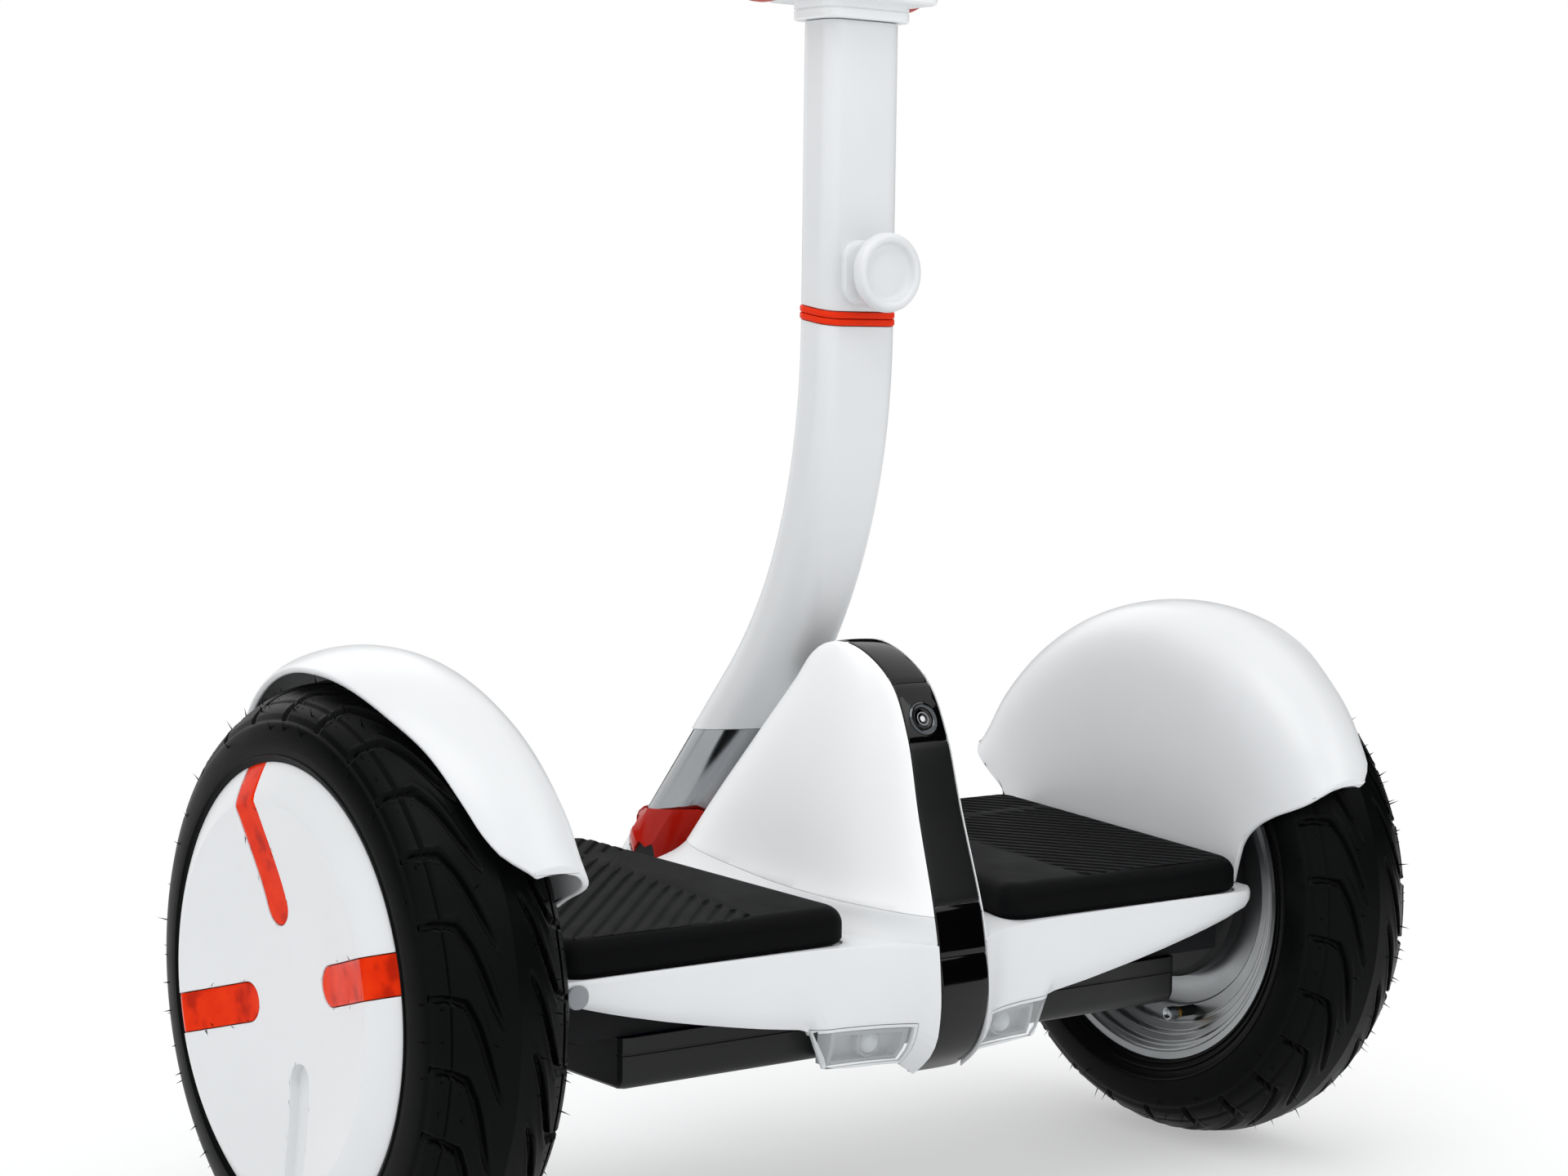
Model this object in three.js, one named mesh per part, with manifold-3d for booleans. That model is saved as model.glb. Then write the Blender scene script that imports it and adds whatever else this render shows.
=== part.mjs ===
import * as THREE from 'three';
import { mergeVertices } from 'three/addons/utils/BufferGeometryUtils.js';
import Module from 'manifold-3d';

const wasm = await Module();
wasm.setup();

// Self balancing personal transporter, millimetres, +Z up.
// The rider faces +Y, the wheels turn about X, and the origin is on the ground under the middle of the axle.

// Gaps, overruns and facet counts
const touchGap = 0.3;
const runningGap = 0.5;
const overrun = 40;
const roundSegments = 28;
const smallSegments = 16;
const mediumSegments = 20;
const pi = Math.PI;

// Wheels
const wheelRadius = 125.5;
const trackHalf = 235.4;
const tyreHalfWidth = 33.5;
const tyreWall = 8;
const beadStep = 0.6;
const crownDrop = 8.2;
const sidewallRadius = 94.4;
const rimHalfWidth = 28.6;
const rimFlangeRadius = 86;
const rimSeatRadius = 81;
const rimWellRadius = 75;
const rimWall = 3;
const webThickness = 6;
const webOffset = 1;
const rotorRadius = 65;
const rotorWall = 4;
const rotorDepth = 20;
const axleRadius = 7;
const bearingRadius = 16;
const bearingWidth = 9;
const axleClearance = 1.2;
const axleHeight = wheelRadius;

// Hubcaps: a raised ring between a shallow dish and the rim, with three windows and a groove
const hubcapRadius = 93.7;
const hubcapEdge = 32.7;
const hubcapRise = 7.9;
const hubcapCreaseRadius = 78.5;
const hubcapDishRadius = 28;
const hubcapDishDrop = 2.1;
const hubcapCentreDrop = 2.6;
const hubcapStep = 4;
const hubcapWall = 2.4;
const windowWidth = 16;
const windowInnerRadius = 28;
const windowPhase = 15 * pi / 180;
const grooveDepth = 1;

// Hub motors
const statorRadius = 57;
const statorRoot = 44;
const statorBore = 20;
const statorThickness = 16;
const statorGap = 1.2;
const statorTeeth = 12;

// Valves
const valveCircle = 64.5;
const valveAngle = 196 * pi / 180;
const valveFoot = 4.6;
const valveStem = 2.6;
const valveLength = 29;

// Deck: the cover rises gently to the front
const deckHalfLength = 198;
const deckRear = 85;
const deckFront = 88;
const deckNose = 96;
const noseHalfWidth = 38;
const noseClearance = 5.7;
const deckTop = 136;
const deckSlope = 0.062;
const deckWall = 3;
const matRecess = 1.5;
const plinthRise = 11.5;
const plinthSpread = 13;
const deckKeel = 76.5;
const deckTipHeight = 9;
const tailBulge = 21;
const tailSpread = 22;
const skirtTuck = 3;

// Mats
const matThickness = 15.5;
const matInnerRear = 44;
const matInnerFront = 68;
const matOuter = 188;
const matRear = 83;
const matFront = 86;
const matCorner = 12;
const matRound = 3.5;
const matTravel = 1;
const matTabLength = 24;
const matTabWidth = 6;
const matTabDrop = 10.6;
const tabClearance = 0.6;
const sensorLength = 44;
const sensorWidth = 16;
const sensorHeight = 9;

// Hump, its shell and the strip that wraps it
const humpPeak = 258;
const humpBase = 148;
const humpWall = 2.6;
const humpTopHalf = 12;
const humpBaseHalf = 34;
const humpFlare = 6;
const humpFlareHeight = 7;
const humpRearReach = 106;
const stripTopHalf = 9.6;
const stripLowHalf = 13;
const stripThickness = 3;
const stripLedge = 0.7;
const stripSteps = 6;
const seamGap = 0.35;

// Power button
const buttonHeight = 228;
const buttonRadius = 4.9;
const buttonTravel = 1;
const buttonDepth = 4;
const bezelRadius = 7.4;
const bezelProud = 0.8;
const bezelClearance = 0.6;

// Frame, battery and electronics
const frameHalfLength = 184;
const frameRear = 70;
const frameFront = 80;
const frameTop = 131;
const frameWall = 4;
const frameFloor = 2.4;
const axleBossRadius = 11;
const axleBossLength = 9;
const batteryHalfLength = 155;
const batteryHalfDepth = 74;
const batteryBottom = 85;
const batteryTop = 107;
const batteryWall = 2;
const batteryEdge = 6;
const cellRadius = 9;
const cellPitch = 18.6;
const cellCount = 15;
const cellRowLength = 130;
const boardLength = 110;
const boardDepth = 96;
const boardThickness = 1.6;
const boardStand = 5;

// Steering: a shaft along Y with a knuckle that carries the bar
const pivotHeight = 123.5;
const shaftRadius = 8.2;
const shaftRear = -12;
const shaftBearingRadius = 12;
const shaftBearingWidth = 10;
const shaftBearingWall = 3.5;
const shaftClearance = 1;
const noseGap = 1.2;
const rearBearingPlace = 16;
const bushRadius = 11.5;
const bushLength = 14;
const knuckleRadius = 25;
const knuckleFront = 127;
const knuckleReach = 136.5;
const collarRadius = 20.8;
const collarLength = 18;
const collarTaper = 1.2;
const collarTop = 168;
const spigotRadius = 18.7;
const spigotNeck = 16.9;
const spigotWall = 2.6;
const spigotSocket = 12;

// Bar: the leaning foot, the bend, and the upright
const barFootY = 105.7;
const barFootZ = 156.8;
const barSteep = 48.3 * pi / 180;
const barUprightY = -17;
const barTubeFoot = 210;
const jointSlope = 0.1;
const barRoundHalf = 19.5;
const barRoundCorner = 19.4;
const sleeveHalfWidth = 20.5;
const sleeveHalfDepth = 12;
const sleeveCorner = 8;
const sleeveWall = 2.2;
const barWall = 2.2;
const ringHeight = 2.8;
const ringProud = 0.6;
const sleeveBottom = 402.5;
const sleeveTop = 528.5;
const headHeight = 66.5;
const postWall = 2;
const postFoot = 380;
const postHeadroom = 4;
const barTravel = 150;

// Clamp knob
const knobHeight = 419.5;
const knobRadius = 17.3;
const knobLength = 16;
const flangeHalfWidth = 13;
const flangeHalfHeight = 14;
const flangeThickness = 3.2;
const clampScrewRadius = 3;

// Head and knee pads
const headHalfWidth = 24;
const headHalfDepth = 15.5;
const headCorner = 8;
const headWall = 2.6;
const wingReach = 33;
const wingHalfDepth = 24;
const wingBottomRise = 8;
const wingTopDrop = 5;
const padHalfDepth = 31;
const padHalfHeight = 30;
const padThickness = 25;
const padCentreRise = 33.5;

// Fenders
const fenderRadius = 138.5;
const fenderFlank = 193.5;
const fenderEdge = 258;
const fenderThickness = 3;
const fenderLeastReach = 16;
const fenderSteps = 26;

// Tail lights
const lensInner = 16;
const lensOuter = 66.5;
const lensTop = 101.5;
const lensBottom = 82.5;
const lensWall = 2;
const lensCut = 8;
const lampGap = 0.6;
const housingWall = 2;
const ledRadius = 5;
const ledPlace = 37;
const ledHeight = 93.5;

// Charge port: a cover plate with a plug, over an open socket
const portX = -184.8;
const portHeight = 130;
const portHalfWidth = 5;
const portHalfHeight = 4.8;
const portPlateThickness = 1.2;
const portGap = 0.45;
const portPlugDepth = 1.5;
const portPlugHalfWidth = 3.7;
const portPlugHalfHeight = 2;
const socketHalfWidth = 5;
const socketHalfHeight = 3.1;
const socketWall = 0.6;
const socketLength = 10;

// Finishes
const white = { color: 0xe9ebec, roughness: 0.42, metalness: 0 };
const black = { color: 0x1b1c1d, roughness: 0.6, metalness: 0 };
const gloss = { color: 0x0a0a0b, roughness: 0.15, metalness: 0 };
const rubber = { color: 0x202122, roughness: 0.75, metalness: 0 };
const orange = { color: 0xf04a1c, roughness: 0.35, metalness: 0 };
const redClear = { color: 0xd9301c, roughness: 0.2, metalness: 0 };
const coral = { color: 0xd9534f, roughness: 0.6, metalness: 0 };
const silver = { color: 0xc4c6c8, roughness: 0.35, metalness: 0.9 };
const steel = { color: 0xb5b8ba, roughness: 0.25, metalness: 1 };
const copper = { color: 0xb87333, roughness: 0.4, metalness: 0.8 };
const grey = { color: 0x8b8f92, roughness: 0.5, metalness: 0 };
const green = { color: 0x1f5b3a, roughness: 0.6, metalness: 0 };
const clear = { color: 0xdfe6ea, roughness: 0.1, metalness: 0 };
const blue = { color: 0x2b5a8c, roughness: 0.5, metalness: 0 };

const transporter = new THREE.Group();

// Closed bodies
function signedVolume(geometry) {
  const p = geometry.attributes.position;
  const at = geometry.index;
  const [a, b, c] = [new THREE.Vector3(), new THREE.Vector3(), new THREE.Vector3()];
  let sum = 0;
  for (let i = 0; i < at.count; i += 3) {
    a.fromBufferAttribute(p, at.getX(i));
    b.fromBufferAttribute(p, at.getX(i + 1));
    c.fromBufferAttribute(p, at.getX(i + 2));
    sum += a.dot(b.cross(c));
  }
  return sum;
}

function closed(geometry) {
  let g = geometry.clone();
  g.deleteAttribute('normal');
  g.deleteAttribute('uv');
  g = mergeVertices(g, 1e-4);
  const kept = [];
  for (let i = 0; i < g.index.count; i += 3) {
    const [a, b, c] = [g.index.getX(i), g.index.getX(i + 1), g.index.getX(i + 2)];
    if (a !== b && b !== c && c !== a) kept.push(a, b, c);
  }
  g.setIndex(kept);
  if (signedVolume(g) < 0) {
    for (let i = 0; i < kept.length; i += 3) [kept[i], kept[i + 1]] = [kept[i + 1], kept[i]];
    g.setIndex(kept);
  }
  return g;
}

function solid(geometry) {
  const g = closed(geometry);
  return new wasm.Manifold(new wasm.Mesh({
    numProp: 3,
    vertProperties: new Float32Array(g.attributes.position.array),
    triVerts: new Uint32Array(g.index.array),
  }));
}

function geometryOf(body) {
  const mesh = body.getMesh();
  const g = new THREE.BufferGeometry();
  g.setAttribute('position', new THREE.BufferAttribute(new Float32Array(mesh.vertProperties), 3));
  g.setIndex(new THREE.BufferAttribute(new Uint32Array(mesh.triVerts), 1));
  g.computeVertexNormals();
  return g;
}

function add(name, body, finish) {
  const geometry = body.isBufferGeometry ? closed(body) : geometryOf(body);
  const mesh = new THREE.Mesh(geometry, new THREE.MeshStandardMaterial(finish));
  mesh.name = name;
  transporter.add(mesh);
  return body;
}

// Builders: outlines are lists of pairs
function shapeOf(points) {
  return new THREE.Shape(points.map(([a, b]) => new THREE.Vector2(a, b)));
}

function alongZ(points, low, high) {
  const g = new THREE.ExtrudeGeometry(shapeOf(points), { depth: high - low, bevelEnabled: false });
  return g.translate(0, 0, low);
}

function alongX(points, low, high) {
  const turn = new THREE.Matrix4().makeBasis(
    new THREE.Vector3(0, 1, 0), new THREE.Vector3(0, 0, 1), new THREE.Vector3(1, 0, 0));
  return alongZ(points, low, high).applyMatrix4(turn);
}

function alongY(points, low, high) {
  const turn = new THREE.Matrix4().makeBasis(
    new THREE.Vector3(1, 0, 0), new THREE.Vector3(0, 0, 1), new THREE.Vector3(0, -1, 0));
  return alongZ(points, -high, -low).applyMatrix4(turn);
}

function box(x0, x1, y0, y1, z0, z1) {
  return new THREE.BoxGeometry(x1 - x0, y1 - y0, z1 - z0)
    .translate((x0 + x1) / 2, (y0 + y1) / 2, (z0 + z1) / 2);
}

function turnedAboutZ(profile, segments) {
  const points = profile.map(([along, radius]) => new THREE.Vector2(radius, along));
  if (points[0].distanceTo(points[points.length - 1]) > 0 && points[0].x > 0) points.push(points[0].clone());
  return new THREE.LatheGeometry(points, segments).rotateX(pi / 2);
}

function turnedAboutY(profile, segments) {
  return turnedAboutZ(profile, segments).rotateX(-pi / 2);
}

function wheelTurned(side, profile, segments = roundSegments) {
  return turnedAboutZ(profile, segments).rotateY(side * pi / 2)
    .translate(side * trackHalf, 0, axleHeight);
}

function roundedRing(halfX, halfY, corner, perCorner = 4) {
  const points = [];
  for (let quarter = 0; quarter < 4; quarter += 1) {
    const cx = (quarter === 0 || quarter === 3 ? 1 : -1) * (halfX - corner);
    const cy = (quarter < 2 ? 1 : -1) * (halfY - corner);
    for (let i = 0; i <= perCorner; i += 1) {
      const angle = (quarter + i / perCorner) * pi / 2;
      points.push([cx + corner * Math.cos(angle), cy + corner * Math.sin(angle)]);
    }
  }
  return points;
}

function loft(rings) {
  const n = rings[0].length;
  const centre = (ring) => ring.reduce((sum, p) => sum.add(p), new THREE.Vector3()).divideScalar(n);
  const vertices = [...rings.flat(), centre(rings[0]), centre(rings[rings.length - 1])];
  const first = rings.length * n;
  const index = [];
  for (let k = 0; k < rings.length - 1; k += 1) {
    for (let i = 0; i < n; i += 1) {
      const j = (i + 1) % n;
      const [a, b, c, d] = [k * n + i, k * n + j, (k + 1) * n + i, (k + 1) * n + j];
      index.push(a, b, d, a, d, c);
    }
  }
  for (let i = 0; i < n; i += 1) {
    const j = (i + 1) % n;
    index.push(first, j, i);
    index.push(first + 1, (rings.length - 1) * n + i, (rings.length - 1) * n + j);
  }
  const g = new THREE.BufferGeometry().setFromPoints(vertices);
  g.setIndex(index);
  return g;
}

// A plate that follows the sloping deck: heights are measured from the deck's top plane
function deckPlane(y) {
  return deckTop + deckSlope * (y + deckRear);
}

function slab(points, low, high) {
  const g = alongZ(points, low, high);
  const p = g.attributes.position;
  for (let i = 0; i < p.count; i += 1) p.setZ(i, p.getZ(i) + deckPlane(p.getY(i)));
  return g;
}

function mix(a, b, share) {
  return a + (b - a) * share;
}

function table(shares, t) {
  const last = shares.length - 1;
  for (let i = 1; i <= last; i += 1) {
    if (t <= shares[i][0] || i === last) {
      const [t0, v0] = shares[i - 1];
      const [t1, v1] = shares[i];
      return mix(v0, v1, Math.min(Math.max((t - t0) / (t1 - t0), 0), 1));
    }
  }
  return shares[last][1];
}

// Wheel parts, with the outward distance from the tyre's middle plane first and the radius second
const crownShares = [0, 0.38, 0.74, 0.9, 0.975, 1];
const shoulderDropShares = [0, 0.26, 1, 1.6, 2.35, 3.1];

function tyreProfile() {
  const outer = crownShares.map((share, i) =>
    [share * tyreHalfWidth, wheelRadius - crownDrop * shoulderDropShares[i]]);
  const bead = [
    [tyreHalfWidth - beadStep, sidewallRadius],
    [rimHalfWidth + touchGap, sidewallRadius],
    [rimHalfWidth + touchGap, rimFlangeRadius + touchGap],
    [rimHalfWidth - rimWall - touchGap, rimFlangeRadius + touchGap],
    [rimHalfWidth - rimWall - touchGap, rimSeatRadius + touchGap],
    [rimHalfWidth - rimWall - tyreWall, rimSeatRadius + touchGap],
    [tyreHalfWidth - tyreWall, sidewallRadius + tyreWall],
  ];
  const half = [...outer, ...bead];
  const other = half.slice(1).reverse().map(([u, r]) => [-u, r]);
  return [...half, [0, wheelRadius - tyreWall], ...other];
}

function rimProfile() {
  const seatEnd = rimHalfWidth - rimWall;
  const shoulder = rimHalfWidth / 2;
  const well = shoulder - rimWall * 1.5;
  const webIn = webOffset - webThickness / 2;
  const webOut = webOffset + webThickness / 2;
  const bore = bearingRadius + touchGap;
  const rotorIn = rotorRadius - rotorWall;
  return [
    [-rimHalfWidth, rimFlangeRadius], [-seatEnd, rimFlangeRadius], [-seatEnd, rimSeatRadius],
    [-shoulder, rimSeatRadius], [-well, rimWellRadius], [well, rimWellRadius],
    [shoulder, rimSeatRadius], [seatEnd, rimSeatRadius], [seatEnd, rimFlangeRadius],
    [rimHalfWidth, rimFlangeRadius], [rimHalfWidth, rimFlangeRadius - rimWall],
    [shoulder, rimWellRadius - rimWall], [webOut, rimWellRadius - rimWall], [webOut, rotorRadius],
    [webOut + rotorDepth, rotorRadius], [webOut + rotorDepth, rotorIn], [webOut, rotorIn],
    [webOut, bore], [webIn - rimWall, bore], [webIn - rimWall, bore + rimWall * 2],
    [webIn, bore + rimWall * 2], [webIn, rimWellRadius - rimWall], [-shoulder, rimWellRadius - rimWall],
    [-rimHalfWidth, rimFlangeRadius - rimWall],
  ];
}

function hubcapSurface(lift) {
  const crest = hubcapEdge + hubcapRise;
  return [
    [hubcapEdge - hubcapCentreDrop + lift, 0],
    [hubcapEdge - hubcapDishDrop + lift, hubcapDishRadius],
    [crest - grooveDepth + lift, hubcapCreaseRadius - hubcapStep],
    [crest + lift, hubcapCreaseRadius],
    [mix(crest, hubcapEdge, 0.5) + grooveDepth + lift, mix(hubcapCreaseRadius, hubcapRadius, 0.5)],
    [hubcapEdge + lift, hubcapRadius],
  ];
}

function hubcapBlank(side) {
  const outer = hubcapSurface(0);
  const inner = hubcapSurface(-hubcapWall).reverse();
  return solid(wheelTurned(side, [...outer, ...inner]));
}

// A bar with a round inner end that lies along a spoke of the hubcap
function spokeBar(side, angle, halfWidth, innerRadius, low, high) {
  const outline = [];
  const steps = smallSegments / 2;
  for (let i = 0; i <= steps; i += 1) {
    const a = pi / 2 + pi * i / steps;
    outline.push([innerRadius + halfWidth + halfWidth * Math.cos(a), halfWidth * Math.sin(a)]);
  }
  outline.push([hubcapRadius + overrun, -halfWidth], [hubcapRadius + overrun, halfWidth]);
  const spoke = outline.map(([r, w]) => {
    const [c, s] = [Math.cos(angle), Math.sin(angle)];
    return [r * s + w * c, axleHeight + r * c - w * s];
  });
  const [a, b] = [side * (trackHalf + low), side * (trackHalf + high)];
  return solid(alongX(spoke, Math.min(a, b), Math.max(a, b)));
}

const windowNames = ['top', 'front', 'rear'];
const windowAngles = [windowPhase, windowPhase + pi / 2, windowPhase - pi / 2];

function buildHubcap(side, label) {
  const blank = hubcapBlank(side);
  let cap = blank;
  const low = 0;
  const high = hubcapEdge + hubcapRise * 2;
  const half = windowWidth / 2;
  windowNames.forEach((name, i) => {
    const slot = spokeBar(side, windowAngles[i], half + touchGap, windowInnerRadius - touchGap, low, high);
    const pane = spokeBar(side, windowAngles[i], half, windowInnerRadius, low, high);
    cap = cap.subtract(slot);
    add(`${label}_window_${name}`, blank.intersect(pane), orange);
  });
  const skin = solid(wheelTurned(side, [...hubcapSurface(overrun), ...hubcapSurface(-grooveDepth).reverse()]));
  const groove = spokeBar(side, windowPhase + pi, half, windowInnerRadius, low, high);
  add(`${label}_hubcap`, cap.subtract(groove.intersect(skin)), white);
}

function buildStator(side, label) {
  const outline = [];
  const toothShares = [[0, 0], [0.12, 1], [0.58, 1], [0.7, 0]];
  for (let i = 0; i < statorTeeth; i += 1) {
    toothShares.forEach(([turn, reach]) => {
      const a = 2 * pi * (i + turn) / statorTeeth;
      const r = mix(statorRoot, statorRadius, reach);
      outline.push([r * Math.cos(a), axleHeight + r * Math.sin(a)]);
    });
  }
  const start = webOffset + webThickness / 2 + statorGap;
  const [a, b] = [side * (trackHalf + start), side * (trackHalf + start + statorThickness)];
  const core = solid(alongX(outline, Math.min(a, b), Math.max(a, b)));
  const bore = solid(wheelTurned(side, [
    [-overrun, 0], [-overrun, axleRadius + touchGap], [overrun, axleRadius + touchGap], [overrun, 0],
  ], smallSegments));
  add(`${label}_stator`, core.subtract(bore), copper);
}

function buildWheel(side, label) {
  add(`${label}_tyre`, wheelTurned(side, tyreProfile()), rubber);
  add(`${label}_rim`, wheelTurned(side, rimProfile()), silver);
  buildHubcap(side, label);
  buildStator(side, label);

  const webIn = webOffset - webThickness / 2;
  const bearingIn = webIn - rimWall;
  add(`${label}_wheel_bearing`, wheelTurned(side, [
    [bearingIn, axleRadius + touchGap], [bearingIn, bearingRadius],
    [bearingIn + bearingWidth, bearingRadius], [bearingIn + bearingWidth, axleRadius + touchGap],
  ], mediumSegments), steel);

  const axleStart = frameHalfLength - frameWall - trackHalf - axleBossLength;
  const axleEnd = webOffset + webThickness / 2 + statorThickness + axleRadius;
  add(`${label}_axle`, wheelTurned(side, [
    [axleStart, 0], [axleStart, axleRadius], [axleEnd, axleRadius], [axleEnd, 0],
  ], smallSegments), steel);

  const foot = webIn - touchGap;
  const valve = wheelTurned(side, [
    [foot, 0], [foot, valveFoot], [foot - valveFoot, valveFoot], [foot - valveFoot * 2, valveStem],
    [foot - valveLength, valveStem], [foot - valveLength, 0],
  ], smallSegments * 0.75);
  valve.translate(0, valveCircle * Math.sin(valveAngle), valveCircle * Math.cos(valveAngle));
  add(`${label}_valve`, valve, black);
}

// The deck's outer surface: sections across X, from the rear edge round the top to the front edge
const sectionShares = [0, 0.18, 0.42, 0.67, 0.84, 1];
const centreRearShares = [-0.9, -0.96, -1, -0.92, -0.67, -0.15];
const sideRearShares = [0, 0.3, 0.35, 0.2, -0.1, -0.9];
const keelShares = [[0, 0], [0.0657, 0], [0.1, 0.08], [0.2, 0.1], [0.3, 0.125], [0.338, 0.41], [0.434, 0.462],
  [0.68, 0.612], [0.823, 0.723], [0.919, 0.812], [0.96, 0.866], [1, 0.95]];

function keelHeight(x) {
  return mix(deckKeel, deckTop, table(keelShares, Math.abs(x) / deckHalfLength));
}

function deckSection(x, inset, topDrop, keelDrop) {
  const away = Math.max(Math.abs(x) - stripLowHalf, 0);
  const bulge = Math.exp(-away / tailSpread);
  const nose = Math.min(Math.max((noseHalfWidth + tailSpread - Math.abs(x)) / tailSpread, 0), 1);
  const front = mix(deckFront, deckNose, nose);
  const tip = Math.max((Math.abs(x) / deckHalfLength - 0.94) / 0.06, 0);
  const tipTuck = deckTipHeight * tip * tip;
  const low = keelHeight(x);
  const rear = [];
  const fore = [];
  const last = sectionShares.length - 1;
  const levelAt = (y, i) => Math.min(mix(deckPlane(y), low, sectionShares[i]), deckPlane(y) - topDrop)
    - (i === last ? keelDrop : 0);
  sectionShares.forEach((_, i) => {
    const sideY = -deckRear - skirtTuck * sideRearShares[i];
    const centreY = -deckRear + tailBulge * centreRearShares[i];
    const y = mix(sideY, centreY, bulge) + inset + tipTuck;
    rear.push(new THREE.Vector3(x, y, levelAt(y, i)));
    const yf = front - skirtTuck * Math.max(-sideRearShares[i], 0) - inset - tipTuck;
    fore.push(new THREE.Vector3(x, yf, levelAt(yf, i)));
  });
  return [...rear, ...fore.reverse()];
}

const stationShares = [1, 0.985, 0.96, 0.86, 0.68, 0.475, 0.34, 0.3, 0.2, 0.14, 0.1, 0.0657];

function deckLoft(inset, topDrop, keelDrop, endInset) {
  const half = deckHalfLength - endInset;
  const right = stationShares.map((share) => share * half);
  const stations = [...right.map((x) => -x), 0, ...right.reverse()];
  return solid(loft(stations.map((x) => deckSection(x, inset, topDrop, keelDrop))));
}

// Plan outlines on the deck
function matOutline(side, grow) {
  const inRear = matInnerRear - grow;
  const inFront = matInnerFront - grow;
  const out = matOuter + grow;
  const rear = -matRear - grow;
  const front = matFront + grow;
  const corners = [[inRear, rear], [out, rear], [out, front], [inFront, front]];
  const points = [];
  corners.forEach(([x, y], i) => {
    const [px, py] = corners[(i + 3) % 4];
    const [nx, ny] = corners[(i + 1) % 4];
    const before = new THREE.Vector2(px - x, py - y).setLength(matCorner + grow);
    const after = new THREE.Vector2(nx - x, ny - y).setLength(matCorner + grow);
    const bend = new THREE.QuadraticBezierCurve(
      new THREE.Vector2(x, y).add(before), new THREE.Vector2(x, y), new THREE.Vector2(x, y).add(after));
    bend.getPoints(3).forEach((p) => points.push([p.x, p.y]));
  });
  return points.map(([x, y]) => [side * x, y]);
}

function matRing(side, grow, height) {
  return matOutline(side, grow).map(([x, y]) => new THREE.Vector3(x, y, deckPlane(y) + height));
}

function tabPlace(side) {
  return side * (matInnerRear + matOuter) / 2;
}

function tabSlab(side, grow, low, high) {
  const x = tabPlace(side);
  const [halfX, halfY] = [matTabLength / 2 + grow, matTabWidth / 2 + grow];
  const outline = [[x - halfX, -halfY], [x + halfX, -halfY], [x + halfX, halfY], [x - halfX, halfY]];
  return solid(slab(outline, low, high));
}

function buildMat(side, label) {
  const floor = -matRecess + matTravel + touchGap;
  const top = floor + matThickness;
  const edgeShares = [[0, 1.4], [0.4, 0.4], [1.5, 0]];
  const sheet = solid(loft([matRing(side, 0, floor),
    ...edgeShares.map(([inward, down]) => matRing(side, -matRound * inward, top - matRound * down))]));
  const tab = tabSlab(side, 0, floor - matTabDrop, floor + matRound);
  add(`${label}_mat`, sheet.add(tab), rubber);

  const x = tabPlace(side);
  const high = -matRecess - deckWall - touchGap;
  const [halfX, halfY] = [sensorLength / 2, sensorWidth / 2];
  const outline = [[x - halfX, -halfY], [x + halfX, -halfY], [x + halfX, halfY], [x - halfX, halfY]];
  const body = solid(slab(outline, high - sensorHeight, high));
  const slot = tabSlab(side, tabClearance, high - sensorHeight + deckWall / 2, high + overrun);
  add(`${label}_foot_sensor`, body.subtract(slot), black);
}

function recess(side) {
  const low = -matRecess;
  return solid(loft([matRing(side, runningGap, low), matRing(side, runningGap, overrun)]));
}

// The line that the strip follows, in the plane x = 0: from the front of the hump over its top and down
// the back to the keel. The first number is the reach from the axle, the second the height
const ridgeShares = [
  [0.727, 0.02], [0.566, 0.2], [0.208, 0.59], [-0.02, 0.836], [-0.1, 0.945], [-0.226, 0.998],
  [-0.406, 0.978], [-0.613, 0.86], [-0.726, 0.67], [-0.821, 0.36], [-0.942, 0.0],
  [-0.979, -0.17], [-1, -0.31], [-0.972, -0.455], [-0.913, -0.56], [-0.79, -0.652],
];
const ridge = new THREE.CatmullRomCurve3(ridgeShares.map(([reach, height]) => new THREE.Vector3(
  0, humpRearReach * reach, mix(humpBase, humpPeak, height))), false, 'centripetal');
ridge.arcLengthDivisions = 400;

// Where the rear side of the ridge passes a height, as a share of its length
function ridgeAt(height) {
  let [low, high] = [0.42, 1];
  for (let i = 0; i < 40; i += 1) {
    const middle = (low + high) / 2;
    if (ridge.getPointAt(middle).z > height) low = middle;
    else high = middle;
  }
  return low;
}

function ridgeFrame(share) {
  const at = ridge.getPointAt(share);
  const along = ridge.getTangentAt(share);
  const out = new THREE.Vector3(0, along.z, -along.y);
  return { at, along, out };
}

function stripHalf(share) {
  const height = ridge.getPointAt(share).z;
  return mix(stripTopHalf, stripLowHalf, Math.min(Math.max((humpPeak - height) / (humpPeak - humpBase), 0), 1));
}

function stripBand(from, to, grow, depth, steps) {
  const rings = [];
  for (let i = 0; i <= steps; i += 1) {
    const share = mix(from, to, i / steps);
    const { at, along, out } = ridgeFrame(share);
    const half = stripHalf(share) + grow;
    const outer = out.clone().multiplyScalar(grow > 0 ? overrun : 0);
    const inner = out.clone().multiplyScalar(-depth - grow);
    const end = along.clone().multiplyScalar(i === 0 ? -grow : (i === steps ? grow : 0));
    const corner = (x, lift) => new THREE.Vector3(x, 0, 0).add(at).add(lift).add(end);
    rings.push([corner(-half, outer), corner(-half, inner), corner(half, inner), corner(half, outer)]);
  }
  return solid(loft(rings));
}

const stripEnds = {
  front: 0.3,
  crown: ridgeAt(mix(humpBase, humpPeak, 0.86)),
  button: ridgeAt(mix(humpBase, humpPeak, 0.64)),
  spine: ridgeAt(humpBase + plinthRise / 4),
  link: ridgeAt(mix(humpBase, deckKeel, 0.26)),
  tail: 1,
};

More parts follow.
